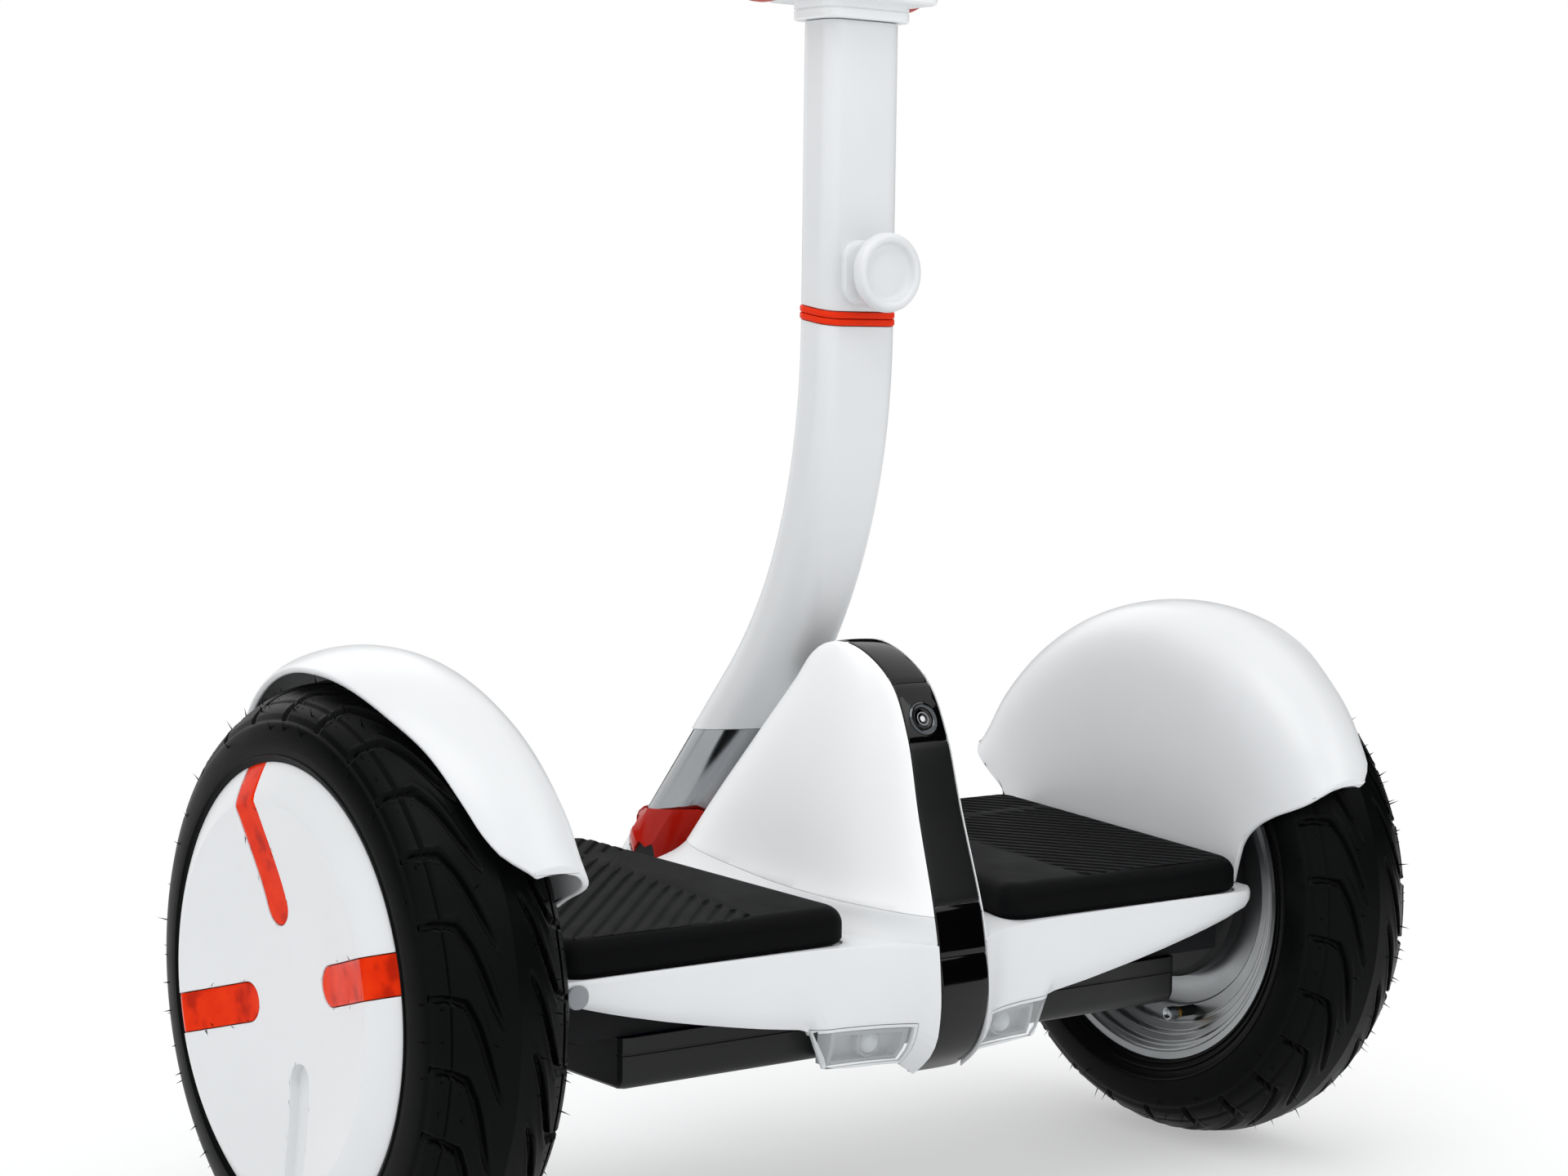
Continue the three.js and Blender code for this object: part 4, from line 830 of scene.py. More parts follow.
def hair_places(rng):
    """The vent hairs, and the short stubs beside the fine groove: place across, angle, radius and length."""
    spikes = []
    for k, share in product(range(groove_pitch_count * 2), hair_shares):
        end = rng.choice((-1, 1))
        wander = rng.uniform(-hair_wander_share, hair_wander_share)
        a = groove_phases[end] + (k + hair_phase_share + wander) * groove_pitch / 2
        spikes.append((end * share * tyre_half_width, a, hair_radius, rng.uniform(*hair_lengths)))
    for k, end, out, share in product(range(groove_pitch_count), (-1, 1), (-stub_spread, stub_spread),
                                      stub_shares):
        a = groove_phases[end] + (k + share) * groove_pitch
        spikes.append((end * (fine_groove_place + out), a, stub_radius, stub_length))
    return spikes


def build_vent_hairs(side, label):
    rng = random.Random(hair_seed + side)
    vertices, faces = [], []
    for across, a, radius, length in hair_places(rng):
        out = Vector((hair_splay * across / tyre_half_width, -math.sin(a), math.cos(a))).normalized()
        base = wheel_point(side * track_half + across, float(crown_height(across)), a)
        bend = Vector((rng.uniform(-1, 1), rng.uniform(-1, 1), 0))
        tip = base + out * length + bend * length * hair_bend
        if min(base.z, tip.z) < hair_ground_clearance:
            continue
        start = len(vertices)
        sideways = out.cross(Vector((1, 0, 0))).normalized()
        for turn in range(4):
            spin = Quaternion(out, turn * math.pi / 2)
            vertices.append(base - out * radius + (spin @ sideways) * radius)
        vertices.append(tip)
        faces += [(start + i, start + (i + 1) % 4, start + 4) for i in range(4)]
        faces.append((start + 3, start + 2, start + 1, start))
    put(make(f"{label}_vent_hairs", vertices, faces), f"{label}_wheel", tyre_rubber)


# Rims and valves

rim_step_shares = [(0.98, 0.955), (0.93, 0.945), (0.9, 0.915), (0.8, 0.905), (0.77, 0.86), (0.64, 0.85),
                   (0.61, 0.8), (0.49, 0.79), (0.46, 0.71), (0.36, 0.7), (0.33, 0.6), (0.3, 0.5)]
web_edge_share = 0.48
motor_cover_shares = [(0, 0.6), (0.5, 0.64), (0.5, 0.93), (1.4, 1)]
valve_sink_share = 0.1
valve_collar_share = 1.12
valve_cap_shares = (0.94, 0.7)
valve_mouth_share = 0.5
valve_mouth_depth_share = 0.6


def build_rim(side, label):
    half, wall, lip, seat, well = rim_half_width, rim_wall, rim_lip_radius, rim_seat_radius, rim_well_radius
    web, rotor = rim_web_outer, rim_web_outer + rotor_depth
    inner = [(-half * a, lip * r) for a, r in rim_step_shares]
    outline = [
        (-half, lip), (-half + wall, lip), (-half + wall, seat), (-half / 2, seat),
        (-half / 2 + wall * 2, well), (half / 2 - wall * 2, well), (half / 2, seat), (half - wall, seat),
        (half - wall, lip), (half, lip), (half, lip - wall), (half / 2, well - wall), (web, well - wall),
        (web, rotor_radius),
        (rotor, rotor_radius), (rotor, rotor_radius - rotor_wall), (web, rotor_radius - rotor_wall),
        (web, rim_bore), (rim_web_place - wall, rim_bore), (rim_web_place - wall, rim_bore + wall * 2),
        (rim_web_place, rim_bore + wall * 3), (rim_web_place, lip * web_edge_share), *reversed(inner),
    ]
    rim = wheel_turned(f"{label}_stepped_rim", side, rounded_profile(outline, rim_edge, 3), 144)
    put(rim, f"{label}_wheel", rim_metal, f"{label}_rim", 30)


def build_motor_cover(side, label):
    edge, face, bore = rim_web_place - motor_cover_reach, rim_web_place - rim_wall, rim_bore + rim_wall * 3
    outer = [(edge + motor_cover_step * a, motor_cover_radius * r) for a, r in motor_cover_shares]
    outline = [(edge, bore), *outer, (face, motor_cover_radius), (face, bore)]
    cover = wheel_turned(f"{label}_motor_cover", side, rounded_profile(outline, fine_round, 2))
    put(cover, f"{label}_wheel", satin_black, (), 30)


def build_valve(side, label):
    start = rim_web_place - rim_wall * valve_sink_share
    end = start - valve_length
    foot, stem, cap = valve_foot_radius, valve_stem_radius, valve_cap_radius
    cap_start = end + valve_cap_length
    mouth = end + stem * valve_mouth_depth_share
    brim, tip = valve_cap_shares
    pieces = [
        ("valve_stem", soft_rubber, "rubber_black", [
            (start, 0), (start, foot), (start - foot, foot), (start - foot * 2, stem), (cap_start, stem),
            (cap_start, 0)]),
        ("valve_collar", brass, "steel", rod(stem * valve_collar_share, cap_start, cap_start - stem)),
        ("valve_cap", plain_steel, "steel", [
            (cap_start - stem, 0), (cap_start - stem, cap), (end + fine_round, cap * brim), (end, cap * tip),
            (mouth, stem * valve_mouth_share), (mouth, 0)]),
    ]
    shift = Vector((0, valve_circle * math.sin(valve_angle), valve_circle * math.cos(valve_angle)))
    for name, material, slot, profile in pieces:
        piece = wheel_turned(f"{label}_{name}", side, rounded_profile(profile, fine_round, 2), 32)
        moved(piece, Matrix.Translation(shift))
        put(piece, f"{label}_wheel", material, f"{label}_valve" if name == "valve_stem" else ())


# Hubcaps

hubcap_rim_power = 1.25


def hubcap_face(lift):
    crest = hubcap_edge + hubcap_rise
    shares = [(0, hubcap_edge - hubcap_centre_drop), (hubcap_dish_radius, hubcap_edge - hubcap_dish_drop),
              (hubcap_shoulder_radius, hubcap_edge + hubcap_shoulder_rise), (hubcap_crease_radius, crest)]
    radii = np.linspace(0, hubcap_crease_radius, 42)
    dish = [(float(flowing(shares, r)), float(r)) for r in radii]
    rim = [(mix(crest, hubcap_edge, t ** hubcap_rim_power), mix(hubcap_crease_radius, hubcap_radius, t))
           for t in np.linspace(0, 1, 14)[1:]]
    return [(a + lift, r) for a, r in dish + rim]


def hubcap_body(name, side, outer_lift, inner_lift):
    outer = hubcap_face(outer_lift)
    inner = []
    for a, r in hubcap_face(0):
        thin = clamp((r - hubcap_crease_radius) / (hubcap_radius - hubcap_crease_radius))
        inner.append((a + mix(inner_lift, max(inner_lift, -hubcap_wall), thin), r))
    return wheel_turned(name, side, [*outer, *reversed(inner)], 160)


def spoke_bar(name, side, angle, half_width, inner_radius):
    """A bar from a round inner end out past the hubcap's edge, as deep as it takes to cut or keep."""
    outline = []
    for i in range(17):
        a = math.pi / 2 + math.pi * i / 16
        outline.append((inner_radius + half_width + half_width * math.cos(a), half_width * math.sin(a)))
    outline += [(hubcap_radius + overrun, -half_width), (hubcap_radius + overrun, half_width)]
    c, s = math.cos(angle), math.sin(angle)
    placed = [(r * s + w * c, axle_height + r * c - w * s) for r, w in outline]
    return prism(name, placed, *sorted((side * track_half, side * (track_half + overrun * 2))), axis="x")


def build_hubcap(side, label):
    cap = hubcap_body(f"{label}_hubcap_shell", side, 0, -hubcap_thick_wall)
    angles = {"top": window_phase, "front": window_phase + math.pi / 2, "rear": window_phase - math.pi / 2}
    width, start = window_half_width + window_gap, window_inner_radius - window_gap
    slots = [spoke_bar("slot", side, angle, width, start) for angle in angles.values()]
    skin = hubcap_body("skin", side, overrun, -hubcap_groove_depth)
    channel = spoke_bar("channel", side, window_phase + math.pi, window_half_width, window_inner_radius)
    combine(skin, [channel], "INTERSECT")
    combine(cap, [*slots, skin])
    put(bevelled(cap, fine_round, 2, 50), f"{label}_wheel", white_shell, f"{label}_hubcap", 30)
    for name, angle in angles.items():
        pane = hubcap_body(f"{label}_window_pane_{name}", side, -window_sink, -hubcap_thick_wall)
        combine(pane, [spoke_bar("bar", side, angle, window_half_width, window_inner_radius)], "INTERSECT")
        put(bevelled(pane, fine_round, 2, 50), f"{label}_wheel", window_orange,
            f"{label}_window_{name}", 30)


# Fenders

fender_roof_shares = [(0, 0.1), (0, 0.66), (0.004, 0.76), (0.02, 0.82), (0.09, 0.905), (0.22, 0.964),
                      (0.42, 0.997), (0.64, 1), (0.85, 0.98), (0.96, 0.957), (1, 0.945)]
fender_end_shares = [(0, 0.1), (0, 0.6), (0.008, 0.71), (0.04, 0.81), (0.13, 0.9), (0.32, 0.965),
                     (0.56, 0.99), (0.8, 0.998), (1, 1)]
fender_reach_shares = [(-0.78, 0.07), (-0.744, 0.256), (-0.7, 0.442), (-0.644, 0.581), (-0.556, 0.69),
                       (-0.444, 0.767), (-0.3, 0.86), (-0.156, 0.938), (0, 1), (0.167, 0.984),
                       (0.267, 0.953), (0.4, 0.86), (0.522, 0.798), (0.644, 0.69), (0.689, 0.55),
                       (0.733, 0.38), (0.756, 0.178), (0.78, 0.07)]
fender_rear_shares = [(-0.5, 0.05), (-0.53, 0.17), (-0.552, 0.23), (-0.6, 0.282), (-0.68, 0.33),
                      (-0.76, 0.363), (-0.82, 0.393), (-0.862, 0.433), (-0.888, 0.48), (-0.906, 0.54),
                      (-0.93, 0.62), (-1.0, 0.78)]
fender_front_shares = [(1.02, 0.75), (0.95, 0.58), (0.922, 0.48), (0.905, 0.42), (0.875, 0.375),
                       (0.83, 0.345), (0.77, 0.307), (0.69, 0.25), (0.65, 0.18), (0.62, 0.05)]
fender_crown_shares = [(-1.1, 1.2), (1.1, 1.2)]
fender_points = 44
fender_sections = 97


def fender_ring(side, turn, roof, end):
    """A fender's section at a share of a quarter turn from the top, its edge rounder near the two ends."""
    first, last = fender_reach_shares[0][0], fender_reach_shares[-1][0]
    reach = (fender_edge - fender_flank) * float(flowing(fender_reach_shares, max(min(turn, last), first)))
    width = max(reach, fender_least_reach)
    lift = eased(clamp((abs(turn) - fender_end_share) / fender_end_span))
    outer = [Vector((fender_flank + mix(p.x, q.x, lift) * width, mix(p.y, q.y, lift) * fender_radius))
             for p, q in zip(roof, end)]
    inner = []
    for i, p in enumerate(outer):
        along = (outer[min(i + 1, len(outer) - 1)] - outer[max(i - 1, 0)]).normalized()
        inner.append(p + Vector((along.y, -along.x)) * fender_thickness)
    return [wheel_point(side * p.x, p.y, turn * math.pi / 2) for p in outer + inner[::-1]]


def build_fender(side, label):
    roof = evenly(spline(fender_roof_shares, 8), fender_points)
    end = evenly(spline(fender_end_shares, 8), fender_points)
    rings = [fender_ring(side, turn, roof, end) for turn in np.linspace(-1, 1, fender_sections)]
    cover = loft(f"{label}_fender_shell", rings)
    lower, upper = [evenly(spline(shares, 8), 40) for shares in (fender_rear_shares, fender_front_shares)]
    outline = [*lower, *[Vector(p) for p in fender_crown_shares], *upper]
    view = [(p.x * fender_radius, axle_height + p.y * fender_radius) for p in outline]
    combine(cover, [prism("keep", view, -track_half * 2, track_half * 2, axis="x")], "INTERSECT")
    combine(cover, [below(cover_gap)])
    put(bevelled(cover, fender_bevel, 3, 50), "chassis", white_shell, f"{label}_fender", 40)


# Deck surface: sections across X, from the rear edge over the top to the front edge

centre_rear_shares = [(0, -0.9), (0.18, -0.96), (0.42, -1), (0.67, -0.92), (0.84, -0.67), (1, -0.15)]
side_rear_shares = [(0, 0), (0.18, 0.3), (0.42, 0.35), (0.67, 0.2), (0.84, -0.1), (1, -0.9)]
keel_shares = [(0, 0), (0.0657, 0), (0.1, 0.08), (0.2, 0.1), (0.3, 0.125), (0.338, 0.41), (0.434, 0.462),
               (0.68, 0.612), (0.823, 0.723), (0.919, 0.812), (0.96, 0.866), (1, 0.95)]
tip_share = 0.94
duct_reach_share = 0.8
plinth_shares = [(-0.2, 1.2), (0, 1.08), (0.12, 0.84), (0.35, 0.44), (0.65, 0.15), (1, 0)]
plinth_rise_shares = (-0.13, 0, 0.08, 0.15, 0.25, 0.36, 0.5, 0.66, 0.82, 1)
deck_steps = [0, 0.03, 0.08, 0.14, 0.2, 0.28, 0.36, 0.44, 0.52, 0.6, 0.68, 0.76, 0.84, 0.92, 0.97, 1]
station_shares = [1, 0.995, 0.985, 0.97, 0.95, 0.9, 0.84, 0.78, 0.7, 0.62, 0.54, 0.46, 0.4, 0.36, 0.338,
                  0.32, 0.3, 0.27, 0.23, 0.19, 0.16, 0.13, 0.1, 0.0657, 0.03]


def deck_plane(y):
    return deck_top + deck_slope * (y + deck_rear)


def below(height):
    """All that lies under the deck's sloping top, moved up by a height."""
    reach = deck_half_length * 2
    plan = rectangle(-reach, reach, -reach, reach)
    return loft("below", [[Vector((x, y, deck_plane(y) + h)) for x, y in plan] for h in (-reach, height)])


def keel_height(x):
    return mix(deck_keel, deck_top, float(flowing(keel_shares, abs(x) / deck_half_length)))


def tip_tuck(x):
    """How far the deck's long edges draw in near its two ends."""
    tip = max((abs(x) / deck_half_length - tip_share) / (1 - tip_share), 0)
    return deck_tip_height * tip * tip


def rear_edge(x, share, inset=0.0):
    bulge = math.exp(-max(abs(x) - strip_low_half, 0) / tail_spread)
    side_y = -deck_rear - skirt_tuck * flowing(side_rear_shares, share)
    centre_y = -deck_rear + tail_bulge * flowing(centre_rear_shares, share)
    return mix(side_y, centre_y, bulge) + inset + tip_tuck(x)


def deck_section(x, inset, top_drop, keel_drop):
    nose = clamp((nose_half_width + tail_spread - abs(x)) / tail_spread)
    front = mix(deck_front, deck_nose, eased(nose))
    rear, fore = [], []
    for share in deck_steps:
        tuck = skirt_tuck * max(-flowing(side_rear_shares, share), 0)
        for line, y in ((rear, rear_edge(x, share, inset)), (fore, front - tuck - inset - tip_tuck(x))):
            height = min(mix(deck_plane(y), keel_height(x), share), deck_plane(y) - top_drop)
            line.append(Vector((x, y, height - (keel_drop if share == 1 else 0))))
    return rear + fore[::-1]


def deck_loft(name, inset=0, top_drop=0, keel_drop=0, end_inset=0):
    half = deck_half_length - end_inset
    right = [share * half for share in station_shares]
    stations = [*[-x for x in right], 0, *reversed(right)]
    return loft(name, [deck_section(x, inset, top_drop, keel_drop) for x in stations])


# Mats

mat_foot_tuck_share = 0.25
groove_section_shares = ((-1, 1), (-0.9, 0.15), (-0.45, -0.8), (0, -1), (0.45, -0.8), (0.9, 0.15), (1, 1))
groove_end_share = 1.5
groove_least_share = 0.08


def mat_outline(side, grow):
    corners = [(mat_inner_rear - grow, -mat_rear - grow), (mat_outer + grow, -mat_rear - grow),
               (mat_outer + grow, mat_front + grow), (mat_inner_front - grow, mat_front + grow)]
    points = []
    for i, corner in enumerate(corners):
        at = Vector(corner)
        before = at + (Vector(corners[i - 1]) - at).normalized() * (mat_corner + grow)
        after = at + (Vector(corners[(i + 1) % 4]) - at).normalized() * (mat_corner + grow)
        points += [before.lerp(at, t).lerp(at.lerp(after, t), t) for t in np.linspace(0, 1, 9)]
    return [(side * p.x, p.y) for p in points]


def mat_ring(side, grow, height):
    return [Vector((x, y, deck_plane(y) + height)) for x, y in mat_outline(side, grow)]


def groove_bar(start, end, side):
    """A shallow cut along a slanting line of the mat's top, tapered at both ends."""
    start, end = Vector(start), Vector(end)
    along = (end - start).normalized()
    across = Vector((-along.y, along.x))
    taper = mat_groove_half_width * groove_end_share
    rings = []
    for t in np.linspace(0, 1, 13):
        at = start.lerp(end, t)
        reach = min(t, 1 - t) * (end - start).length / taper
        swell = max(math.sqrt(clamp(reach * (2 - min(reach, 1)))), groove_least_share)
        ring = []
        for offset, height in groove_section_shares:
            p = at + across * offset * mat_groove_half_width * swell
            drop = mat_groove_depth * (height if height == 1 else height * swell)
            ring.append(Vector((side * p.x, p.y, deck_plane(p.y) + mat_floor + mat_thickness + drop)))
        rings.append(ring)
    return loft("groove", rings)


def mat_grooves(side):
    bars = []
    rear, outer = mat_rear - mat_groove_margin, mat_outer - mat_groove_margin
    front = mat_front - mat_groove_margin
    first = int((mat_plain_inner - mat_rear) / mat_groove_pitch) + 1
    fields = ((mat_plain_inner, -rear, mat_plain_band), (mat_field_inner, mat_field_rear, front))
    for k in range(first, int((mat_outer + mat_front) / mat_groove_pitch)):
        total = k * mat_groove_pitch
        for inner, low, high in fields:
            start_y = min(total - inner, high)
            end_x = min(outer, total - low)
            start, end = (total - start_y, start_y), (end_x, total - end_x)
            if start[0] < end[0] - mat_groove_half_width * 2:
                bars.append(groove_bar(start, end, side))
    return bars


def joined(parts):
    """Parts that don't touch, as one object."""
    work = bmesh.new()
    for part in parts:
        work.from_mesh(part.data)
    work.to_mesh(parts[0].data)
    work.free()
    for part in parts[1:]:
        bpy.data.objects.remove(part)
    return parts[0]


def build_mat(side, label):
    top = mat_floor + mat_thickness
    rings = [mat_ring(side, -mat_round * mat_foot_tuck_share, mat_floor),
             mat_ring(side, 0, mat_floor + mat_round * round_share), mat_ring(side, 0, top - mat_round)]
    rings += [mat_ring(side, -mat_round * a, top - mat_round * b) for a, b in quarter_round(10)[1:]]
    mat = loft(f"{label}_foot_mat", rings)
    combine(mat, [joined(mat_grooves(side))])
    put(bevelled(mat, fine_round, 2, 35), f"{label}_footrest", mat_rubber, f"{label}_mat", 50)


# The line that the strip follows in the plane x = 0

ridge_shares = [(0.727, 0.02), (0.566, 0.2), (0.208, 0.59), (-0.02, 0.836), (-0.1, 0.945), (-0.226, 0.998),
                (-0.406, 0.978), (-0.613, 0.86), (-0.726, 0.67), (-0.821, 0.36), (-0.942, 0.0),
                (-0.979, -0.17), (-1, -0.31), (-0.972, -0.455), (-0.913, -0.56), (-0.79, -0.652)]
ridge_points = 1601
ridge_step_share = 0.002
strip_slice = 0.0016
strip_tuck_share = 0.5
strip_front_share = 0.3
crown_end_share = 0.86
button_end_share = 0.64
link_end_share = 0.26
hump_line = [(0, hump_rear_reach * a, mix(hump_base, hump_peak, b)) for a, b in ridge_shares]
ridge = evenly(spline(hump_line, 30), ridge_points)
ridge_top = max(range(len(ridge)), key=lambda i: ridge[i].z)


def ridge_point(share):
    at = clamp(share) * (len(ridge) - 1)
    i = min(int(at), len(ridge) - 2)
    return ridge[i].lerp(ridge[i + 1], at - i)


def ridge_at(height):
    low, high = ridge_top / (len(ridge) - 1), 1.0
    for _ in range(40):
        middle = (low + high) / 2
        if ridge_point(middle).z > height:
            low = middle
        else:
            high = middle
    return low


def ridge_frame(share):
    """A place on the strip's line, the way along it there and the way out of the hump."""
    along = (ridge_point(share + ridge_step_share) - ridge_point(share - ridge_step_share)).normalized()
    return ridge_point(share), along, Vector((0, along.z, -along.y))


def strip_half(share):
    fall = clamp((hump_peak - ridge_point(share).z) / (hump_peak - hump_base))
    return mix(strip_top_half, strip_low_half, fall)


def strip_cutter():
    """The channel that the whole strip lies in, with a gap all round."""
    deep, high = -strip_thickness - cover_gap, overrun / 4
    rings = []
    for i in range(121):
        share = mix(strip_ends["front"], strip_ends["tail"], i / 120)
        at, along, out = ridge_frame(share)
        half = strip_half(share) + cover_gap
        at = at + along * (cover_gap * (1 if i == 120 else -1 if i == 0 else 0))
        section = ((-half, high), (-half, deep), (half, deep), (half, high))
        rings.append([at + Vector((x, 0, 0)) + out * lift for x, lift in section])
    return loft("strip_cutter", rings)


def strip_piece(name, start, end):
    length = sum((b - a).length for a, b in zip(ridge, ridge[1:]))
    cut = seam_gap / 2 / length
    start, end = start + cut, end - cut
    count = max(int((end - start) * length / strip_slice), 6)
    rings = []
    for i in range(count + 1):
        share = mix(start, end, i / count)
        at, along, out = ridge_frame(share)
        half = strip_half(share)
        tuck = strip_edge * (strip_tuck_share if i in (0, count) else 0)
        flank = [(-half, -strip_thickness), (-half, -strip_edge)]
        flank += [(-half + strip_edge * a, -strip_edge * b) for a, b in quarter_round(4)[1:4]]
        crown = [(x * (half - strip_edge), strip_crown * (1 - x * x)) for x in np.linspace(-1, 1, 9)]
        section = [*flank, *crown, *[(-x, h) for x, h in reversed(flank)]]
        rings.append([at + Vector((x, 0, 0)) + out * (h - tuck * (h > -strip_thickness)) for x, h in section])
    return loft(name, rings)


strip_ends = {
    "front": strip_front_share, "crown": ridge_at(mix(hump_base, hump_peak, crown_end_share)),
    "button": ridge_at(mix(hump_base, hump_peak, button_end_share)),
    "spine": ridge_at(hump_base + plinth_rise / 4),
    "link": ridge_at(mix(hump_base, deck_keel, link_end_share)), "tail": 1.0,
}

button_at, _, button_out = ridge_frame(ridge_at(button_height))
button_turn = Vector((0, 0, 1)).rotation_difference(button_out).to_matrix().to_4x4()


def along_button(name, profile, segments=64):
    return moved(turned(name, profile, segments), Matrix.Translation(button_at) @ button_turn)


# Hump: level sections, each from the strip's line at the back to the flat that faces the bar

side_shares = [(0, 0), (0.03, 0.16), (0.12, 0.44), (0.3, 0.84), (0.5, 1), (0.7, 0.93), (0.86, 0.76),
               (0.96, 0.5), (1, 0.28)]
front_shares = [(0, 0.727), (0.2, 0.566), (0.59, 0.208), (0.836, -0.02), (0.945, -0.11), (0.985, -0.18),
                (1, -0.24)]
hump_ring_steps = 36
side_bow = 0.68
side_blend_share = 0.2
side_blend_start = 0.6
hump_start_share = -0.055
hump_level_power = 1.7
bezel_foot_share = 0.3
bezel_inner_share = 0.8
dish_place_share = 0.5
dish_floor_share = 1.4
mark_sink_share = 1.1
mark_top_share = 0.7


def hump_ring(height, grow=0.0):
    level = max(height, deck_top)
    rear = ridge_point(ridge_at(min(level, hump_peak - cover_gap))).y
    share = clamp((level - hump_base) / (hump_peak - hump_base))
    front = hump_rear_reach * flowing(front_shares, share)
    edge = mix(strip_top_half, strip_low_half, 1 - share) + strip_ledge
    flare = hump_flare * math.exp(-max(level - hump_base, 0) / hump_flare_height)
    widest = mix(hump_top_half, hump_base_half, (1 - share) ** side_bow) + flare + grow
    points = []
    for t in np.linspace(0, 1, hump_ring_steps):
        step = eased(t)
        end = mix(edge, widest, side_blend_share * clamp(step * 2 - side_blend_start))
        points.append((mix(end, widest, flowing(side_shares, step)), mix(rear, front + grow, step)))
    left = [(-x, y) for x, y in reversed(points)]
    return [Vector((x, y, height)) for x, y in [*points, *left]]


def plinth_ring(rise):
    spread = plinth_spread * flowing(plinth_shares, rise / plinth_rise)
    low, high = deck_top, deck_plane(deck_nose) + plinth_rise
    count = 9
    levels = [hump_ring(height, spread) for height in np.linspace(low, high, count)]
    points = []
    for i, first in enumerate(levels[0]):
        at = clamp((deck_plane(first.y) + rise - low) / (high - low)) * (count - 1)
        k = min(int(at), count - 2)
        p = levels[k][i].lerp(levels[k + 1][i], at - k)
        points.append(Vector((p.x, p.y, deck_plane(p.y) + rise)))
    return points


def bar_point(height):
    return Vector((0, bar_foot_y - (height - bar_foot_z) / math.tan(bar_steep), height))


def nose_cut():
    """The room in the deck's nose for the collar and the knuckle to lean in."""
    back = (collar_radius + nose_clearance) / math.sin(bar_steep)
    low, high = deck_keel, hump_peak
    outline = [(bar_point(low).y - back, low), (hump_peak, low), (hump_peak, high),
               (bar_point(high).y - back, high)]
    return prism("nose", outline, -nose_half_width, nose_half_width, axis="x")


def build_hump():
    steps = [1 - (1 - t) ** hump_level_power for t in np.linspace(hump_start_share, 1, 60) if t < 1]
    heights = [mix(hump_base, hump_peak, step) for step in steps]
    hump = loft("hump_shell", [hump_ring(height) for height in [*heights, hump_peak]])
    pocket = along_button("pocket", rod(bezel_radius + cover_gap, -overrun / 2, overrun))
    combine(hump, [below(plinth_rise + plinth_seam), strip_cutter(), pocket])
    # The hump takes a lighter copy of the white shell: painted light
    put(bevelled(hump, fine_round, 2, 45), "chassis", hump_painted_light_shell, "hump_cover", 32)


def build_strip():
    names = ["crown", "button_panel", "spine", "link", "tail"]
    ends = list(strip_ends.values())
    for name, start, end in zip(names, ends, ends[1:]):
        piece = strip_piece(f"strip_segment_{name}", start, end)
        if name == "button_panel":
            combine(piece, [along_button("hole", rod(bezel_radius + fine_round, -overrun, overrun))])
        finish, slot = (satin_black, "satin_black") if name == "spine" else (gloss_black, "gloss_black")
        put(piece, "chassis", finish, f"strip_{name}", 40)


def build_bezel():
    inner = button_radius + cover_gap
    ring = [(-strip_thickness, inner), (-strip_thickness, bezel_radius),
            (bezel_proud * bezel_foot_share, bezel_radius), (bezel_proud, bezel_radius - bezel_proud),
            (bezel_proud * bezel_inner_share, inner + bezel_proud), (0, inner)]
    put(along_button("bright_bezel", ring), "chassis", dark_chrome, "button_bezel", 30)


def build_button():
    face = [(-button_depth, 0), (-button_depth, button_radius), (0, button_radius),
            (-button_dish, button_radius * dish_place_share), (-button_dish * dish_floor_share, 0)]
    cap = along_button("round_power_button", rounded_profile(face, button_dish, 4))
    put(cap, "button", gloss_black, "power_button", 40)
    low = -button_dish * mark_sink_share
    top = low + button_dish / 2
    dot = [(low, 0), (low, dot_radius), (top, dot_radius * mark_top_share), (top, 0)]
    put(along_button("button_dot", dot, 32), "button", white_mark)
    top = low + button_dish * mark_top_share
    mark = [(low, mark_radius), (low, mark_radius + mark_width), (top, mark_radius + mark_width),
            (top, mark_radius)]
    put(along_button("button_ring", mark, 48), "button", port_grey)


# Deck cover, tail lenses, charge port and battery

led_level_share = 0.72
led_rise_share = 0.8
port_edge_shares = ((0.0, 0.0), (0.0, 0.6), (0.06, 0.88), (0.2, 1.0))
battery_end_shares = ((0.0, 0.55), (0.004, 0.2), (0.015, 0.0), (0.5, 0.0), (0.985, 0.0), (0.996, 0.2),
                      (1.0, 0.55))
battery_end_rise_share = 0.6


def lens_prism(name, side, grow):
    inner, outer, high = lens_inner - grow, lens_outer + grow, lens_top + grow
    low = lens_bottom - (overrun / 4 if grow > 0 else grow)
    outline = [(inner, low), (outer - lens_cut, low), (outer, high), (inner, high)]
    placed = [(side * x, z) for x, z in outline]
    return prism(name, placed, -deck_rear - overrun, -deck_rear + skirt_tuck * 2, axis="y")


def port_outline(half_width, half_height):
    return [(port_x + x, port_height + z)
            for x, z in rounded_ring(half_width, half_height, half_height - fine_round, 8)]


